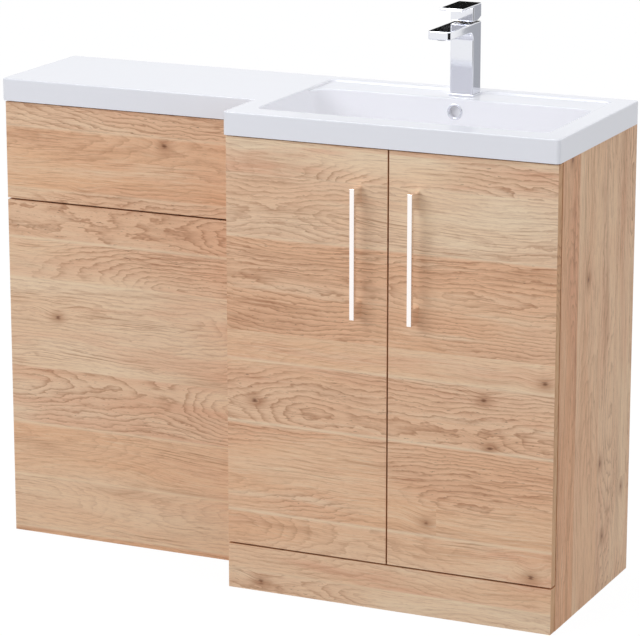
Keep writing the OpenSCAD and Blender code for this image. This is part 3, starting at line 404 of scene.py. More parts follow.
def new_group(name, inputs, outputs):
    """An empty node group with named sockets: its tree, its input node and its output node."""
    group = bpy.data.node_groups.new(name, "ShaderNodeTree")
    for socket, kind, default in inputs:
        made = group.interface.new_socket(socket, in_out="INPUT", socket_type=kind)
        if default is not None:
            made.default_value = default
    for socket, kind in outputs:
        group.interface.new_socket(socket, in_out="OUTPUT", socket_type=kind)
    tree = Tree(group)
    return tree, tree.add("NodeGroupInput"), tree.add("NodeGroupOutput")


# The laminate: how far a plank's joint strays, as a share of its width, the growth rings to a metre,
# and the share of places with no knot
JOINT_JITTER = 0.62
RINGS_PER_METRE = 135.0
KNOT_FREE = 0.86


def oak_group():
    """Printed oak planks: figure, streaks, fibres and knots, with the grain along X."""
    colour, number, vector = "NodeSocketColor", "NodeSocketFloat", "NodeSocketVector"
    wood = bpy.context.scene.washroom_wood
    t, source, result = new_group(
        "oak planks",
        [("Place", vector, None), ("Seed", number, 0.0), ("Plank Width", number, wood.plank),
         ("Light", colour, wood.light), ("Warm", colour, wood.warm), ("Rosy", colour, wood.rosy),
         ("Ring", colour, wood.ring), ("Knot", colour, wood.knot)],
        [("Color", colour), ("Height", number), ("Shine", number)])
    given = source.outputs
    split = t.add("ShaderNodeSeparateXYZ", {0: given["Place"]}).outputs
    along, across = split["X"], split["Y"]

    def chance(index, extra):
        seed = t.plus(t.times(given["Seed"], 7.3), extra)
        made = t.add("ShaderNodeTexWhiteNoise", {"W": t.plus(index, seed)}, noise_dimensions="1D")
        return t.add("ShaderNodeSeparateColor", {0: made.outputs["Color"]}).outputs

    # Planks of uneven width: each joint is shifted by its own chance
    position = t.math("DIVIDE", across, given["Plank Width"])
    position = t.plus(position, t.times(given["Seed"], 0.37))
    joint_index = t.math("ROUND", position)
    jitter = t.times(t.minus(chance(joint_index, 3.1)["Red"], 0.5), JOINT_JITTER)
    beyond = t.minus(position, t.plus(joint_index, jitter))
    plank = t.minus(joint_index, t.math("LESS_THAN", beyond, 0.0))
    luck = chance(plank, 0.0)
    more_luck = chance(plank, 8.4)
    depth = t.times(plank, 3.7)
    shifted = t.plus(along, t.times(luck["Red"], 9.0))

    def field(per_along, per_across, extra, line=across, **settings):
        place = t.triple(t.times(shifted, per_along), t.times(line, per_across), t.plus(depth, extra))
        return t.noise(place, **settings)

    # Knots, and the pull they have on the grain round them
    cell = t.add("ShaderNodeTexVoronoi", {
        "Vector": t.triple(t.times(shifted, 7.0), t.times(across, 9.5), 0.0),
        "Scale": 1.0, "Randomness": 1.0}, voronoi_dimensions="2D")
    picked = t.add("ShaderNodeSeparateColor", {0: cell.outputs["Color"]}).outputs
    has_knot = t.math("GREATER_THAN", picked["Red"], KNOT_FREE)
    near = t.times(t.spread(cell.outputs["Distance"], 0.0, 0.42, 1.0, 0.0, True), has_knot)

    # The grain's own line: nearly straight, with a slow swell
    swell = field(3.2, 9.0, 0.0, detail=2.0, roughness=0.4)
    line = t.plus(across, t.times(swell, 0.045))
    line = t.plus(line, t.times(near, 0.012))

    # The log's heart runs under each plank, nearer here and deeper there: rings are circles round it
    heart_place = t.plus(plank, t.spread(luck["Green"], 0.0, 1.0, 0.15, 0.85))
    off_heart = t.times(t.minus(position, heart_place), given["Plank Width"])
    off_heart = t.plus(off_heart, t.times(t.minus(swell, 0.5), 0.035))
    under = t.spread(field(2.7, 3.0, 6.1, detail=1.0, roughness=0.4), 0.30, 0.70, -0.01, 0.075)
    ripple = field(16.0, 50.0, 1.3, detail=3.0, roughness=0.6)
    aside = t.math("POWER", t.math("ABSOLUTE", off_heart), 2.0)
    below = t.math("POWER", t.math("ABSOLUTE", under), 2.0)
    reach = t.math("SQRT", t.plus(aside, below))
    steps = t.plus(t.times(reach, RINGS_PER_METRE), t.times(ripple, 2.4))
    rise = t.math("FRACT", steps)
    ring = t.times(t.math("POWER", rise, 3.6), t.spread(rise, 0.90, 1.0, 1.0, 0.0))
    spot = t.spread(field(2.6, 7.0, 8.8, detail=1.0), 0.36, 0.52, 0.0, 1.0, True)
    lively = t.spread(more_luck["Red"], 0.20, 0.60, 0.22, 1.0)
    figured = t.times(spot, lively)
    broken = t.spread(field(24.0, 130.0, 8.2, detail=3.0), 0.30, 0.48, 0.15, 1.0)
    ring = t.times(ring, t.times(t.spread(figured, 0.0, 1.0, 0.14, 1.0), broken))

    # Streaks, fibres and dark flecks run along the grain's line
    bands = field(3.4, 44.0, 2.9, line, detail=4.0, roughness=0.6)
    streaks = field(15.0, 380.0, 2.2, line, detail=4.0, roughness=0.75)
    lines = field(11.0, 520.0, 7.2, line, detail=2.0, roughness=0.6)
    fibres = field(60.0, 900.0, 3.3, line, detail=2.0, roughness=0.6)
    flecks = field(85.0, 560.0, 9.4, line, detail=2.0, roughness=0.5)
    patches = t.spread(field(3.0, 22.0, 4.4, line, detail=3.0, roughness=0.55), 0.44, 0.64, 0.0, 1.0, True)
    shade = t.spread(field(1.6, 12.0, 5.5, detail=2.0), 0.34, 0.66, -0.30, 0.30)
    calm = t.spread(figured, 0.0, 0.8, 1.0, 0.45)

    # Colours, laid on in turn: planks, rosy patches, bands, streaks, lines, rings, fibres, flecks,
    # the pale joints of the planks, and the knots
    tone = t.plus(t.spread(luck["Blue"], 0.1, 0.9, 0.05, 0.95), shade, clamp=True)
    base = t.mix(tone, given["Light"], given["Warm"])
    rosiness = t.times(patches, t.spread(more_luck["Green"], 0.0, 1.0, 0.15, 0.85))
    base = t.mix(rosiness, base, given["Rosy"])
    base = t.mix(t.times(figured, 0.35), base, given["Rosy"])
    base = t.mix(t.spread(bands, 0.46, 0.26, 0.0, 0.50), base, given["Light"])
    base = t.mix(t.spread(bands, 0.54, 0.76, 0.0, 0.36), base, given["Ring"])
    base = t.mix(t.times(t.spread(streaks, 0.47, 0.30, 0.0, 0.60), calm), base, given["Light"])
    base = t.mix(t.times(t.spread(streaks, 0.54, 0.72, 0.0, 0.52), calm), base, given["Ring"])
    combed = t.spread(field(2.4, 16.0, 5.1, detail=1.0), 0.46, 0.60, 0.15, 1.0, True)
    base = t.mix(t.times(t.spread(lines, 0.55, 0.66, 0.0, 0.50), combed), base, given["Ring"])
    base = t.mix(t.times(ring, 0.85), base, given["Ring"])
    base = t.mix(t.spread(fibres, 0.55, 0.76, 0.0, 0.30), base, given["Ring"])
    fleck_share = t.spread(figured, 0.2, 1.0, 0.12, 1.0)
    flecked = t.times(t.spread(flecks, 0.66, 0.74, 0.0, 0.60), fleck_share)
    base = t.mix(flecked, base, given["Knot"])
    edge_line = t.spread(t.math("ABSOLUTE", beyond), 0.0, 0.040, 0.75, 0.0)
    base = t.mix(t.times(edge_line, chance(joint_index, 5.7)["Green"]), base, given["Light"])
    halo = t.times(t.math("POWER", near, 5.0), 0.55)
    base = t.mix(halo, base, given["Ring"])
    wobble = t.times(t.minus(streaks, 0.5), 0.16)
    ragged = t.plus(cell.outputs["Distance"], wobble)
    heart = t.times(t.spread(ragged, 0.004, 0.044, 0.80, 0.0, True), has_knot)
    base = t.mix(heart, base, given["Knot"])
    t.put(base, result.inputs["Color"])
    height = t.plus(t.times(fibres, 0.6), t.times(ring, 0.4))
    t.put(height, result.inputs["Height"])
    t.put(t.spread(fibres, 0.3, 0.8, 0.42, 0.56), result.inputs["Shine"])


def wear_group():
    """Faint dust and handling marks: a mask that changes slowly, with finer grains on it."""
    number, vector = "NodeSocketFloat", "NodeSocketVector"
    t, source, result = new_group(
        "handling marks",
        [("Place", vector, None), ("Size", number, 12.0), ("Low", number, 0.1), ("High", number, 0.2)],
        [("Roughness", number), ("Height", number), ("Mask", number)])
    given = source.outputs
    scaling = {0: given["Place"], "Scale": given["Size"]}
    scaled = t.add("ShaderNodeVectorMath", scaling, operation="SCALE").outputs[0]
    cloud = t.noise(scaled, detail=4.0, roughness=0.6)
    grain = t.noise(scaled, detail=2.0, scale=34.0)
    both = t.plus(t.times(cloud, 0.75), t.times(grain, 0.25))
    mask = t.spread(both, 0.3, 0.7)
    span = t.minus(given["High"], given["Low"])
    t.put(t.plus(given["Low"], t.times(mask, span)), result.inputs["Roughness"])
    t.put(grain, result.inputs["Height"])
    t.put(mask, result.inputs["Mask"])


def start_material(name):
    """A new material: its tree, its shader and the object's own coordinates."""
    material = bpy.data.materials.new(name)
    material.use_nodes = True
    t = Tree(material.node_tree)
    return t, material.node_tree.nodes["Principled BSDF"], t.add("ShaderNodeTexCoord").outputs


def add_bump(t, shader, height, strength, distance):
    """Lets a height roughen the surface."""
    bump = t.add("ShaderNodeBump", {"Height": height, "Strength": strength, "Distance": distance})
    t.put(bump.outputs[0], shader.inputs["Normal"])


# How far a surface's normal has to lie along an axis to count as facing it, as a share of one
FACES_AXIS = 0.7


def oak(name, grain, across, edge_normal, edge_grain, edge_across, seed, warmth=1.0, contrast=1.0):
    """Oak laminate whose grain runs along one axis on the faces and another on the edge bands.

    The edge faces are multiplied by a painted shade, darker and warmer, so that the gaps between the boards
    read dark. Warmth above one takes green and blue away, and contrast above one darkens the figure more
    than the ground.
    """
    wood = bpy.context.scene.washroom_wood
    t, shader, place = start_material(name)
    axes = t.add("ShaderNodeSeparateXYZ", {0: place["Object"]}).outputs
    facing = t.add("ShaderNodeSeparateXYZ", {0: place["Normal"]}).outputs
    face_place = t.triple(axes[grain], axes[across], 0.0)
    edge_place = t.triple(axes[edge_grain], axes[edge_across], 0.5)
    on_edge = t.math("GREATER_THAN", t.math("ABSOLUTE", facing[edge_normal]), FACES_AXIS)
    planks = t.add("ShaderNodeGroup", node_tree=bpy.data.node_groups["oak planks"])
    t.put(t.mix(on_edge, face_place, edge_place, "VECTOR"), planks.inputs["Place"])
    planks.inputs["Seed"].default_value = seed
    for socket, colour, share in (("Light", wood.light, 0.0), ("Warm", wood.warm, 0.4),
                                  ("Rosy", wood.rosy, 0.4), ("Ring", wood.ring, 1.6)):
        deeper = contrast ** share
        red, green, blue = colour[0], colour[1] / warmth, colour[2] / warmth ** 1.7
        planks.inputs[socket].default_value = (red / deeper, green / deeper, blue / deeper, 1.0)
    face_normal = next(axis for axis in "XYZ" if axis not in (grain, across))
    # Painted shade: the faces that turn away from the board's face, its edges in the gaps, are multiplied
    # darker and warmer
    painted_edge_shade = t.math("LESS_THAN", t.math("ABSOLUTE", facing[face_normal]), FACES_AXIS)
    with_painted_edge_shade = t.mix(painted_edge_shade, planks.outputs["Color"], wood.painted_edge_shade, blend="MULTIPLY")
    t.put(with_painted_edge_shade, shader.inputs["Base Color"])
    t.put(planks.outputs["Shine"], shader.inputs["Roughness"])
    shader.inputs["Specular IOR Level"].default_value = 0.1
    add_bump(t, shader, planks.outputs["Height"], 0.25, 0.0003)


def plain(name, colour, other, low, high, size, metallic=0.0, bump=0.05, specular=0.5):
    """A finish of one colour that drifts a little towards another, with handling marks."""
    t, shader, place = start_material(name)
    marks = t.add("ShaderNodeGroup", node_tree=bpy.data.node_groups["handling marks"])
    t.put(place["Object"], marks.inputs["Place"])
    for socket, value in (("Size", size), ("Low", low), ("High", high)):
        marks.inputs[socket].default_value = value
    t.put(t.mix(marks.outputs["Mask"], colour, other), shader.inputs["Base Color"])
    t.put(marks.outputs["Roughness"], shader.inputs["Roughness"])
    shader.inputs["Metallic"].default_value = metallic
    shader.inputs["Specular IOR Level"].default_value = specular
    add_bump(t, shader, marks.outputs["Height"], bump, 0.0002)


def tint(colour, factor):
    """A colour made lighter or darker."""
    return (colour[0] * factor, colour[1] * factor, colour[2] * factor, 1.0)


def make_materials():
    """Builds the shared effects once, and every material from them."""
    oak_group()
    wear_group()
    basin = bpy.context.scene.washroom_basin
    chrome = bpy.context.scene.washroom_tap.chrome
    handle = bpy.context.scene.washroom_tap.handle
    oak("oak front", "X", "Z", "X", "Z", "Y", 1.0)
    oak("oak housing front", "X", "Z", "X", "Z", "Y", 5.0, 1.03)
    # Painted shade: the side boards get warmer oak with darker figure than the fronts, for how the cool
    # light at the right falls on the sides
    oak("oak side with painted shade", "Z", "Y", "Y", "Z", "X", 2.0, 1.10, 1.15)
    oak("oak shelf", "X", "Y", "Y", "X", "Z", 3.0)
    oak("oak rail", "X", "Z", "Z", "X", "Y", 4.0)
    plain("gel coat", tuple(basin.colour), tint(basin.colour, 0.985), basin.gloss, basin.gloss + 0.05,
          size=5.0, bump=0.02, specular=0.22)
    plain("polished chrome", tuple(chrome), tint(chrome, 0.96), 0.04, 0.09,
          size=16.0, metallic=1.0, bump=0.01)
    plain("bright chrome", tuple(handle), tint(handle, 0.97), 0.06, 0.12,
          size=16.0, metallic=1.0, bump=0.01)
    plain("zinc", linear(168, 170, 172), linear(146, 148, 150), 0.28, 0.42, size=60.0, metallic=1.0)
    plain("turned brass", linear(196, 160, 92), linear(176, 138, 78), 0.22, 0.38, size=60.0, metallic=1.0)
    plain("white moulding", linear(232, 232, 228), linear(222, 222, 216), 0.32, 0.44, size=25.0)
    plain("grey moulding", linear(132, 136, 142), linear(118, 122, 128), 0.36, 0.50, size=25.0)
    plain("black rubber", linear(38, 38, 42), linear(30, 30, 33), 0.6, 0.75, size=40.0, bump=0.12)


# In these the thin triangles beside small holes would fold over when their edges are rounded,
# so their flat faces are merged first.
FLATS_MERGED = ["cistern_tank", "flush_valve", "tap_aerator", "tap_gasket", "hinge_links_left",
                "waste_flange", "vanity_base", "vanity_front_rail", "vanity_back_rails", "wc_front_rails"]
WELD_GAP = 0.00002
FLAT_DEGREES = 0.3
BOARD_EDGE = 0.0003
FITTING_EDGE = 0.0004


def soften(node_name, material, width):
    """Finishes a CAD node where it stands: its material, and its edges slightly rounded."""
    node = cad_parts[node_name]
    paint(node, material)
    weld = node.modifiers.new("weld", "WELD")
    weld.merge_threshold = WELD_GAP
    if node_name in FLATS_MERGED:
        flat = node.modifiers.new("flats", "DECIMATE")
        flat.decimate_type = "DISSOLVE"
        flat.angle_limit = math.radians(FLAT_DEGREES)
    soft = add_bevel(node, width, 2, CAD_TURN)
    soft.harden_normals = True
    add_even_shading(node)


# ---- the top and its basin ----

TOP_LOW, TOP_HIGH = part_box("basin_top")
SPLIT_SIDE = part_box("vanity_side_left")[0].x
HOUSING_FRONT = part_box("wc_front_panel")[0].y
DOOR_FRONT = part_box("door_left")[0].y
WALL = TOP_HIGH.y
RIM = TOP_HIGH.z
TAP_CENTRE = (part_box("tap_cartridge")[0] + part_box("tap_cartridge")[1]) / 2
WASTE_CENTRE = (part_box("waste_flange")[0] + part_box("waste_flange")[1]) / 2
BOWL_X = TAP_CENTRE.x
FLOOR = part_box("waste_flange")[1].z
RING_LOW, RING_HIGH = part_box("overflow_ring")
OVERFLOW_Z = (RING_LOW.z + RING_HIGH.z) / 2

# Heights and depths of the slab and the bowl
UNDERSIDE = RIM - 0.040
LEDGE = RIM - 0.004
BOWL_HALF = 0.2625
BOWL_FRONT = DOOR_FRONT + 0.042
BOWL_BACK = WALL - 0.098
LEDGE_BACK = WALL - 0.029
SPLIT_OVERHANG = 0.0025
HOUSING_OVERHANG = 0.008
FRONT_CORNER = 0.014
BACK_CORNER = 0.042
OUTER_CORNER = 0.008

# The bowl's walls: how thick they are, how far they lean in, and how they turn into the floor
BOWL_WALL = 0.009
SIDE_DRAFT = 0.022
FRONT_DRAFT = 0.016
FLOOR_ROUND = 0.034
WALL_STEPS = [0.25, 0.5, 0.7, 0.78, 0.84, 0.89, 0.93, 0.96, 0.98, 0.992, 0.9985]
FLOOR_SHARE = (0.97, 0.95, 1)

# The boss below the bowl's floor, the overflow's duct down to it, and the holes
BOSS_RADIUS = 0.036
BOSS_HEIGHT = 0.028
BOSS_MIDDLE = 0.016
BOSS_UNDER = 0.030
DUCT_HALF = 0.010
DUCT_SETBACK = 0.012
SEAT_RADIUS = 0.033
WASTE_RADIUS = 0.0225
TAP_HOLE_RADIUS = 0.0165
OVERFLOW_RADIUS = 0.0115
HOLE_LENGTH = 0.080

# How far the cutting solids stand above the rim, and how far other solids reach past a face
OVERCUT = 0.006
OVERLAP = 0.002

# Segments of the rounded corners and edges
CORNER_STEPS = 10
BACK_STEPS = 16
EDGE_STEPS = 4

# How far a face's normal has to lie along an axis to be picked as facing it
PICKED = 0.9


def tangent_profile(draft, fall, depth):
    """How far a wall stands in at a depth: straight and drafted, then round into the floor."""
    centre_in, centre_down = draft + FLOOR_ROUND, fall - FLOOR_ROUND
    reach = math.hypot(centre_in, centre_down)
    lean = math.atan2(centre_in, centre_down) - math.asin(FLOOR_ROUND / reach)
    touch = centre_down + FLOOR_ROUND * math.sin(lean)
    if depth < touch:
        return depth * math.tan(lean)
    return centre_in - math.sqrt(max(FLOOR_ROUND ** 2 - (depth - centre_down) ** 2, 0.0))


def bowl_solid(name, grow, start, height):
    """The bowl's form as a solid: straight down to the ledge, then drafted walls and a round floor."""
    low = (BOWL_X - BOWL_HALF - grow, BOWL_FRONT - grow)
    high = (BOWL_X + BOWL_HALF + grow, BOWL_BACK + grow)
    piece = start_plate(name, low, high, start)
    middle = (low[1] + high[1]) / 2
    round_where(piece, "VERT", lambda co: co.y < middle, FRONT_CORNER + grow, CORNER_STEPS)
    round_where(piece, "VERT", lambda co: co.y > high[1] - HAIR, BACK_CORNER + grow, BACK_STEPS)
    choose_all(piece)
    extrude(z=height - start)
    fall = height - FLOOR
    stretch = (fall + grow) / fall
    width, front, back, last = high[0] - low[0], low[1], high[1], 0.0
    for step in WALL_STEPS:
        depth = step * fall
        side = tangent_profile(SIDE_DRAFT, fall, depth)
        new_front = low[1] + tangent_profile(FRONT_DRAFT, fall, depth)
        new_back = high[1] - tangent_profile(0.0, fall, depth)
        new_width = high[0] - low[0] - 2 * side
        shift = (new_front + new_back - front - back) / 2
        extrude(y=shift, z=(last - depth) * stretch)
        centre = (BOWL_X, (new_front + new_back) / 2, height - depth * stretch)
        bpy.ops.transform.resize(
            value=(new_width / width, (new_back - new_front) / (back - front), 1), center_override=centre)
        width, front, back, last = new_width, new_front, new_back, depth
    extrude(z=(last - fall) * stretch)
    floor_centre = (BOWL_X, (front + back) / 2, height - fall * stretch)
    bpy.ops.transform.resize(value=FLOOR_SHARE, center_override=floor_centre)
    leave_edit()
    tidy_mesh(piece)
    return piece


def slab_solid(edge):
    """The L-shaped slab: the deep part over the vanity, and the shallow part drawn out to the left."""
    split = SPLIT_SIDE - SPLIT_OVERHANG
    piece = start_block("basin", (split, TOP_LOW.y, UNDERSIDE), (TOP_HIGH.x, WALL, RIM))
    shallow_front = HOUSING_FRONT - HOUSING_OVERHANG
    slice_at(piece, (0, shallow_front, 0), (0, 1, 0))
    draw_out(piece, lambda centre, normal: normal.x < -PICKED and centre.y > shallow_front,
             x=TOP_LOW.x - split)
    merge_flats(piece)

    def outer_corner(a, b):
        upright = abs(a.x - b.x) < HAIR and abs(a.y - b.y) < HAIR
        inner = abs(a.x - split) < NEAR and abs(a.y - shallow_front) < NEAR
        return upright and not inner

    round_where(piece, "EDGE", outer_corner, OUTER_CORNER, CORNER_STEPS)
    round_where(piece, "EDGE", lambda a, b: min(a.z, b.z) > RIM - HAIR, edge, EDGE_STEPS)
    return piece


def ledge_solid():
    """What is taken out of the slab above the tap ledge, with a back that slopes up to the rim."""
    piece = start_plate(
        "ledge", (BOWL_X - BOWL_HALF, BOWL_FRONT), (BOWL_X + BOWL_HALF, LEDGE_BACK), RIM + OVERCUT)
    middle = (BOWL_FRONT + LEDGE_BACK) / 2
    round_where(piece, "VERT", lambda co: co.y < middle, FRONT_CORNER, CORNER_STEPS)
    round_where(piece, "VERT", lambda co: co.y > LEDGE_BACK - HAIR, FRONT_CORNER, CORNER_STEPS)
    choose_all(piece)
    extrude(z=LEDGE - RIM - OVERCUT)
    leave_edit()
    shift_where(piece, lambda co: co.y > middle and co.z > RIM, RIM + OVERCUT - LEDGE)
    tidy_mesh(piece)
    return piece


def round_rims(piece, edge):
    """Rounds the edge of the rim, and the edge where the ledge falls into the bowl."""
    lip_back = LEDGE_BACK + RIM - LEDGE
    brink_front = BOWL_BACK - 0.034

    def on_rim(co):
        inside = abs(co.x - BOWL_X) < BOWL_HALF + NEAR and BOWL_FRONT - NEAR < co.y < lip_back + NEAR
        return inside and abs(co.z - RIM) < HAIR

    def on_brink(co):
        return brink_front < co.y < BOWL_BACK + NEAR and abs(co.z - LEDGE) < HAIR

    for there in (on_rim, on_brink):
        round_where(piece, "EDGE", lambda a, b: there(a) and there(b), edge, EDGE_STEPS)


class WASHROOM_OT_basin(bpy.types.Operator):
    """Models the top with its tap ledge, bowl, overflow and waste seat"""
    bl_idname = "washroom.basin"
    bl_label = "Top and basin"

    def execute(self, context):
        settings = context.scene.washroom_basin
        piece = slab_solid(settings.edge)
        self.underside(piece)
        cut_shape(piece, bowl_solid("hollow", 0.0, RIM + OVERCUT, LEDGE))
        cut_shape(piece, ledge_solid())
        round_rims(piece, settings.edge)
        self.holes(piece)
        tidy_mesh(piece)
        round_edges(piece, 0.0006, 2)
        smooth(piece)
        fit_in(piece, "unit", "gloss_white", "gel coat", "basin_top")
        return {"FINISHED"}

    def underside(self, piece):
        """Melts on the bowl's shell, the waste's boss, and the rib and the duct of the overflow."""
        low_z = FLOOR - BOSS_UNDER + 0.001
        left, right = BOWL_X - DUCT_HALF, BOWL_X + DUCT_HALF
        duct_back = BOWL_BACK + DUCT_SETBACK + DUCT_HALF
        waste_y = WASTE_CENTRE.y
        add_shape(piece, bowl_solid("shell", BOWL_WALL, RIM - OVERLAP, LEDGE))
        add_shape(piece, start_rod("boss", (BOWL_X, waste_y, FLOOR - BOSS_MIDDLE), BOSS_RADIUS, BOSS_HEIGHT))
        add_shape(piece, start_block("rib", (left, waste_y, low_z), (right, duct_back, FLOOR - 0.003)))
        add_shape(piece, start_block("duct", (left, BOWL_BACK + OVERLAP, low_z),
                                     (right, duct_back, UNDERSIDE + 0.005)))

    def holes(self, piece):
        """Cuts the waste's seat and hole, the tap's hole and the overflow."""
        for name, y, z, radius, length, axis in (
                ("waste seat", WASTE_CENTRE.y, FLOOR + 0.001, SEAT_RADIUS, 0.010, "Z"),
                ("waste hole", WASTE_CENTRE.y, FLOOR - 0.02, WASTE_RADIUS, HOLE_LENGTH, "Z"),
                ("tap hole", TAP_CENTRE.y, RIM - 0.02, TAP_HOLE_RADIUS, HOLE_LENGTH, "Z"),
                ("overflow", BOWL_BACK + OVERLAP, OVERFLOW_Z, OVERFLOW_RADIUS, 0.018, "Y")):
            cut_shape(piece, start_rod(name, (BOWL_X, y, z), radius, length, axis))


class WASHROOM_OT_overflow(bpy.types.Operator):
    """Models the domed ring in the bowl's overflow hole"""
    bl_idname = "washroom.overflow"
    bl_label = "Overflow ring"

    def execute(self, context):
        radius = (RING_HIGH.x - RING_LOW.x) / 2
        bore_radius = OVERFLOW_RADIUS - 0.0013
        sleeve_radius = OVERFLOW_RADIUS - 0.0001
        lip = 0.0014
        inset = 0.0005
        dome = 0.0011
        sides = 96
        front, back = RING_LOW.y, RING_HIGH.y
        collar_place = (BOWL_X, front + lip / 2, OVERFLOW_Z)
        piece = start_rod("overflow_collar", collar_place, radius, lip, "Y", sides)
        sleeve_place = (BOWL_X, (front + inset + back) / 2, OVERFLOW_Z)
        add_shape(piece, start_rod("sleeve", sleeve_place, sleeve_radius, back - front - inset, "Y", sides))
        cut_shape(piece, start_rod("bore", (BOWL_X, front, OVERFLOW_Z), bore_radius, 0.04, "Y", sides))

        def face_edge(a, b):
            reach = [math.hypot(end.x - BOWL_X, end.z - OVERFLOW_Z) for end in (a, b)]
            return max(a.y, b.y) < front + HAIR and abs(reach[0] - reach[1]) < NEAR

        round_where(piece, "EDGE", face_edge, dome, 5)
        smooth(piece, 50)
        fit_in(piece, "unit", "chrome", "polished chrome", "overflow_ring")
        return {"FINISHED"}


# ---- the tap ----

FOOT_LOW, FOOT_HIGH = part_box("tap_body")
TAP_LIP = 0.002
TAP_FOOT = 0.0033
TAP_BACK = FOOT_HIGH.y - TAP_LIP
TAP_FRONT = 2 * TAP_CENTRE.y - TAP_BACK
TAP_LEFT, TAP_RIGHT = FOOT_LOW.x + TAP_LIP, FOOT_HIGH.x - TAP_LIP
SPOUT_THICKNESS = 0.0145
SPOUT_CORNER = 0.009
SPOUT_ROOT = 0.016
LEVER_PLATE = 0.0045
LEVER_HEEL = 0.0055
HEEL_LEAN = 0.0095
SEAT_OPENING = 0.0101
SEAT_LENGTH = 0.008
WELL_RADIUS = 0.0151
WELL_LENGTH = 0.030
WELL_MIDDLE = 0.010
SHANK_RADIUS = 0.0155
POCKET_X = 0.015
POCKET_Y = 0.013
POCKET_ROOF = 0.004


def on_line(y, z):
    """A test for the edges that lie along X at one depth and height."""
    def both_ends(a, b):
        return all(abs(end.z - z) < NEAR and abs(end.y - y) < NEAR for end in (a, b))
    return both_ends


class WASHROOM_OT_tap(bpy.types.Operator):
    """Models the tap's body with its spout, and the lever"""
    bl_idname = "washroom.tap"
    bl_label = "Tap"

    def execute(self, context):
        settings = context.scene.washroom_tap
        self.body(settings.edge)
        self.lever(settings.edge)
        return {"FINISHED"}

    def body(self, edge):
        """The casting: a block whose spout is drawn out to the front, with its seats cut in."""
        spout_front, top = FOOT_LOW.y, FOOT_HIGH.z
        spout_under = top - SPOUT_THICKNESS
        piece = start_block("tap_casting", (TAP_LEFT, TAP_FRONT, LEDGE), (TAP_RIGHT, TAP_BACK, top))
        slice_at(piece, (0, 0, spout_under), (0, 0, 1))
        draw_out(piece, lambda centre, normal: normal.y < -PICKED and centre.z > spout_under,
                 y=spout_front - TAP_FRONT)

        def spout_corner(a, b):
            return a.y < spout_front + NEAR and b.y < spout_front + NEAR and abs(a.z - b.z) > 0.001

        round_where(piece, "EDGE", spout_corner, SPOUT_CORNER, CORNER_STEPS)
        round_where(piece, "EDGE", on_line(TAP_FRONT, spout_under), SPOUT_ROOT, 12)
        merge_flats(piece)
        round_edges(piece, edge, EDGE_STEPS)
        self.foot(piece)
        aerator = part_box("tap_aerator")
        seat_place = (TAP_CENTRE.x, (aerator[0].y + aerator[1].y) / 2, spout_under)
        cut_shape(piece, start_rod("aerator seat", seat_place, SEAT_OPENING, SEAT_LENGTH))
        well_place = (TAP_CENTRE.x, TAP_CENTRE.y, top - WELL_MIDDLE)
        cut_shape(piece, start_rod("cartridge well", well_place, WELL_RADIUS, WELL_LENGTH))
        smooth(piece)
        fit_in(piece, "unit", "chrome", "polished chrome", "tap_body")

    def foot(self, piece):
        """Adds the thin foot plate and the shank, and sinks the gasket's groove."""
        plate = start_block("foot plate", (FOOT_LOW.x, TAP_FRONT - TAP_LIP, LEDGE),
                            (FOOT_HIGH.x, FOOT_HIGH.y, LEDGE + TAP_FOOT))
        round_edges(plate, 0.0008, 3)
        add_shape(piece, plate)
        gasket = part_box("tap_gasket")
        cut_shape(piece, start_block("groove", gasket[0] - Vector((0, 0, OVERLAP)), gasket[1]))
        shank_top, shank_end = gasket[1].z + 0.001, FOOT_LOW.z
        shank_middle = (TAP_CENTRE.x, TAP_CENTRE.y, (shank_top + shank_end) / 2)
        add_shape(piece, start_rod("shank", shank_middle, SHANK_RADIUS, shank_top - shank_end))

    def lever(self, edge):
        """The lever: a block whose plate is drawn out to the front, with a leaning back and a pocket."""
        low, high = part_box("tap_lever")
        plate_under = high.z - LEVER_PLATE
        piece = start_block("tap_handle", (TAP_LEFT, TAP_FRONT, low.z), (TAP_RIGHT, high.y, high.z))
        slice_at(piece, (0, 0, plate_under), (0, 0, 1))
        draw_out(piece, lambda centre, normal: normal.y < -PICKED and centre.z > plate_under,
                 y=low.y - TAP_FRONT)
        round_where(piece, "EDGE", on_line(high.y, low.z), LEVER_HEEL, 1)
        heel_front = high.y - 0.006
        shift_where(piece, lambda co: co.y > heel_front and abs(co.z - low.z) < NEAR, -HEEL_LEAN)
        pocket = start_block("pocket", (TAP_CENTRE.x - POCKET_X, TAP_CENTRE.y - POCKET_Y, low.z - OVERLAP),
                             (TAP_CENTRE.x + POCKET_X, TAP_CENTRE.y + POCKET_Y, plate_under - POCKET_ROOF))
        merge_flats(piece)
        cut_shape(piece, pocket)
        round_edges(piece, edge, EDGE_STEPS)
        smooth(piece)
        fit_in(piece, "lever", "chrome", "polished chrome", "tap_lever")


# ---- handles ----

HANDLE_BAR = 0.008
HANDLE_FOOT = 0.028
FEET_BEYOND = 0.06


class WASHROOM_OT_handles(bpy.types.Operator):
    """Models one bow handle and copies it for the second door"""
    bl_idname = "washroom.handles"
    bl_label = "Handles"

    def execute(self, context):
        low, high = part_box("handle_left")
        bar_back = low.y + HANDLE_BAR
        piece = start_block("handle_bow_left", low, (high.x, bar_back, high.z))
        slice_at(piece, (0, 0, low.z + HANDLE_FOOT), (0, 0, 1))
        slice_at(piece, (0, 0, high.z - HANDLE_FOOT), (0, 0, 1))

        def foot_face(centre, normal):
            return normal.y > PICKED and abs(centre.z - (low.z + high.z) / 2) > FEET_BEYOND

        draw_out(piece, foot_face, y=high.y - bar_back)
        merge_flats(piece)
        round_edges(piece, context.scene.washroom_tap.handle_edge, 3)
        smooth(piece)
        second = piece.copy()
        second.data = piece.data.copy()
        second.name = "handle_bow_right"
        context.collection.objects.link(second)
        second.data.transform(Matrix.Translation((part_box("handle_right")[0].x - low.x, 0, 0)))
        fit_in(piece, "door_left", "chrome", "bright chrome", "handle_left")
        fit_in(second, "door_right", "chrome", "bright chrome", "handle_right")
        return {"FINISHED"}


# ---- boards and fittings that keep their CAD shape ----

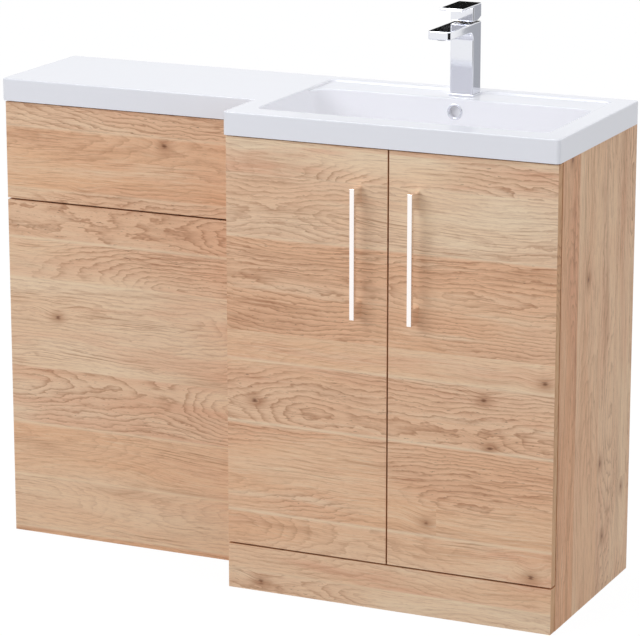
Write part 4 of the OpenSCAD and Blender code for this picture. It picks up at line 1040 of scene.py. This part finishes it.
BOARDS = {
    "oak front": ["door_left", "door_right", "plinth"],
    "oak housing front": ["wc_front_panel", "wc_access_panel"],
    "oak side with painted shade": ["vanity_side_left", "vanity_side_right", "wc_side_left", "wc_side_right"],
    "oak shelf": ["vanity_shelf", "vanity_base"],
    "oak rail": ["vanity_front_rail", "vanity_back_rails", "wc_front_rails", "wc_back_rails"],
}
FITTINGS = {
    "polished chrome": ["waste_flange", "waste_plug", "waste_tail", "waste_backnut",
                        "trap_body", "trap_cup", "trap_nuts", "trap_outlet"],
    "zinc": ["hinge_arms", "hinge_cups_left", "hinge_cups_right", "hinge_links_left",
             "hinge_links_right", "hinge_screws", "door_screws_left", "door_screws_right",
             "cam_locks", "joining_bolts", "shelf_pegs", "cistern_screws", "tap_spindle", "tap_aerator"],
    "turned brass": ["cam_bolts", "cartridge_nut", "tap_clamp"],
    "white moulding": ["cistern_tank", "cistern_lid", "flush_valve", "fill_valve", "flush_pipe",
                       "fixing_blocks", "clip_studs", "door_buffers", "tap_cartridge"],
    "grey moulding": ["flush_plunger", "fill_float", "clip_sockets"],
    "black rubber": ["waste_seals", "tap_gasket"],
}


class WASHROOM_OT_boards(bpy.types.Operator):
    """Finishes the boards in oak laminate with slightly rounded edge bands"""
    bl_idname = "washroom.boards"
    bl_label = "Boards"

    def execute(self, context):
        for material, names in BOARDS.items():
            for name in names:
                soften(name, material, BOARD_EDGE)
        return {"FINISHED"}


class WASHROOM_OT_fittings(bpy.types.Operator):
    """Finishes the hinges, screws, waste, trap, cistern and tap fittings"""
    bl_idname = "washroom.fittings"
    bl_label = "Fittings"

    def execute(self, context):
        for material, names in FITTINGS.items():
            for name in names:
                soften(name, material, FITTING_EDGE)
        return {"FINISHED"}


# ---- the studio ----

# The camera that was fitted to the photograph's straight edges, in metres and degrees
CAMERA_PLACE = (2.2763, -4.8674, 1.8244)
CAMERA_ELEVATION = 14.358
CAMERA_AZIMUTH = 24.625
SENSOR_WIDTH = 36
FAR_CLIP = 60
AIM = (0.1, 0.0, 0.45)
FLOOR_SIZE = 30


def area_lamp(name, place, size, power, colour):
    """A soft rectangular lamp aimed at one point near the unit's middle."""
    data = bpy.data.lights.new(name, "AREA")
    data.shape = "RECTANGLE"
    data.size, data.size_y = size
    data.energy = power
    data.color = colour
    lamp = bpy.data.objects.new(name, data)
    bpy.context.scene.collection.objects.link(lamp)
    lamp.location = place
    lamp.rotation_euler = (Vector(AIM) - Vector(place)).to_track_quat("-Z", "Y").to_euler()


def stage_plane(name, size, place):
    """A flat square of the stage with a material of its own: the plane, its tree and its nodes."""
    bpy.ops.object.select_all(action="DESELECT")
    bpy.ops.mesh.primitive_plane_add(size=size, location=place)
    plane = bpy.context.object
    plane.name = name
    material = bpy.data.materials.new(name)
    material.use_nodes = True
    plane.data.materials.append(material)
    return plane, Tree(material.node_tree), material.node_tree.nodes


def painted_reflection_card(name, place, size, facing, colour):
    """A card of one colour that shows in reflections and nowhere else: a painted reflection, and a painted
    highlight where it glows bright.
    """
    card, t, nodes = stage_plane(name, 1, place)
    card.scale = (size[0], size[1], 1)
    card.rotation_euler = Vector(facing).to_track_quat("Z", "Y").to_euler()
    for ray in ("camera", "diffuse", "transmission", "volume_scatter", "shadow"):
        setattr(card, "visible_" + ray, False)
    glow = t.add("ShaderNodeEmission", {"Color": (*colour, 1), "Strength": 1.0})
    t.put(glow.outputs[0], nodes["Material Output"].inputs["Surface"])


class WASHROOM_OT_stage(bpy.types.Operator):
    """Sets the pale floor, the soft lamps, the cards of painted reflections and the camera"""
    bl_idname = "washroom.stage"
    bl_label = "Stage"

    def execute(self, context):
        studio = context.scene.washroom_studio
        self.world(studio)
        self.floor()
        self.cards()
        cool = tuple(studio.cool)
        area_lamp("key lamp", (-1.6, -3.4, 2.6), (2.4, 2.4), studio.key, cool)
        area_lamp("fill lamp", (3.4, -1.6, 1.5), (2.0, 2.0), studio.fill, cool)
        area_lamp("top lamp", (0.2, 0.7, 3.4), (2.6, 2.0), studio.top, cool)
        self.camera(studio)
        context.scene.view_settings.view_transform = "Standard"
        return {"FINISHED"}

    def world(self, studio):
        """White to the eye and in reflections, and softer and slightly cool as a light."""
        world = bpy.data.worlds.new("studio")
        bpy.context.scene.world = world
        world.use_nodes = True
        t = Tree(world.node_tree)
        background = world.node_tree.nodes["Background"]
        seen = t.seen()
        strength = t.spread(seen, 0.0, 1.0, studio.ambient, 1.0)
        t.put(strength, background.inputs["Strength"])
        t.put(t.mix(seen, (*studio.cool, 1.0), (1, 1, 1, 1)), background.inputs["Color"])

    def floor(self):
        """Nearly white to the eye and in reflections, and a mid grey to light that bounces softly."""
        floor, t, nodes = stage_plane("floor", FLOOR_SIZE, (0, 0, 0))
        shader = nodes["Principled BSDF"]
        shader.inputs["Base Color"].default_value = (0.5, 0.5, 0.5, 1)
        shader.inputs["Roughness"].default_value = 0.8
        seen = t.seen()
        glow = t.add("ShaderNodeEmission", {"Color": (1, 1, 1, 1), "Strength": 1.12})
        blend = t.add("ShaderNodeMixShader", {0: t.times(seen, 0.85)})
        t.put(shader.outputs[0], blend.inputs[1])
        t.put(glow.outputs[0], blend.inputs[2])
        t.put(blend.outputs[0], nodes["Material Output"].inputs["Surface"])

    def cards(self):
        """Dark, grey and white cards that only reflections see: painted dark and grey reflections on the tap
        and the basin, and a painted highlight on the rims and edges from the bright card overhead.
        """
        behind_z = FOOT_HIGH.z + 0.165
        back, front = (0, 1, 0), (0.9, -0.42, 0)
        # Painted reflections: dark and grey cards that darken the tap's tops and fronts only where they are
        # mirrored
        painted_reflection_card("card behind", (0.02, 0.60, behind_z), (0.60, 0.19), back, (0.01, 0.01, 0.01))
        painted_reflection_card("card at the right", (0.470, 0.70, 0.79), (0.100, 0.36), back, (0.42, 0.43, 0.46))
        # Painted highlight: a card that glows ten times white, seen only in reflections, for the bright
        # lines along the rims and edges
        painted_reflection_card("card overhead", (-0.45, -0.22, 2.4), (1.5, 0.85), (0, 0, -1), (10.0, 10.0, 10.0))
        painted_reflection_card("card above the camera", (-0.61, -2.0, 1.36), (0.9, 0.34), back, (0.50, 0.50, 0.53))
        painted_reflection_card("card in front", (1.33, -0.35, 0.75), (1.5, 1.1), front, (0.02, 0.02, 0.02))

    def camera(self, studio):
        """The camera at the photograph's place and angle."""
        data = bpy.data.cameras.new("camera")
        data.lens = studio.lens
        data.sensor_width = SENSOR_WIDTH
        data.dof.use_dof = False
        camera = bpy.data.objects.new("camera", data)
        bpy.context.scene.collection.objects.link(camera)
        camera.location = CAMERA_PLACE
        camera.rotation_euler = (math.radians(90 - CAMERA_ELEVATION), 0, math.radians(CAMERA_AZIMUTH))
        data.clip_end = FAR_CLIP
        bpy.context.scene.camera = camera


# ---- panel ----

STEPS = [WASHROOM_OT_stage, WASHROOM_OT_boards, WASHROOM_OT_fittings, WASHROOM_OT_basin,
         WASHROOM_OT_overflow, WASHROOM_OT_tap, WASHROOM_OT_handles]


class WASHROOM_PT_panel(bpy.types.Panel):
    """Lists the sizes, the colours and the steps"""
    bl_idname = "WASHROOM_PT_panel"
    bl_label = "Combination unit"
    bl_space_type = "VIEW_3D"
    bl_region_type = "UI"
    bl_category = "Washroom"

    def draw(self, context):
        for name, group in SETTINGS.items():
            box = self.layout.box()
            box.label(text=group.__doc__)
            for key in group.__annotations__:
                box.prop(getattr(context.scene, name), key)
        for step in STEPS:
            self.layout.operator(step.bl_idname)


CLASSES = [*SETTINGS.values(), *STEPS, WASHROOM_PT_panel]


def register():
    for item in CLASSES:
        bpy.utils.register_class(item)
    for name, group in SETTINGS.items():
        setattr(bpy.types.Scene, name, PointerProperty(type=group))


def unregister():
    for name in SETTINGS:
        delattr(bpy.types.Scene, name)
    for item in reversed(CLASSES):
        bpy.utils.unregister_class(item)


def main():
    register()
    make_materials()
    bpy.ops.washroom.stage()
    bpy.ops.washroom.boards()
    bpy.ops.washroom.fittings()
    bpy.ops.washroom.basin()
    bpy.ops.washroom.overflow()
    bpy.ops.washroom.tap()
    bpy.ops.washroom.handles()


if __name__ == "__main__":
    main()
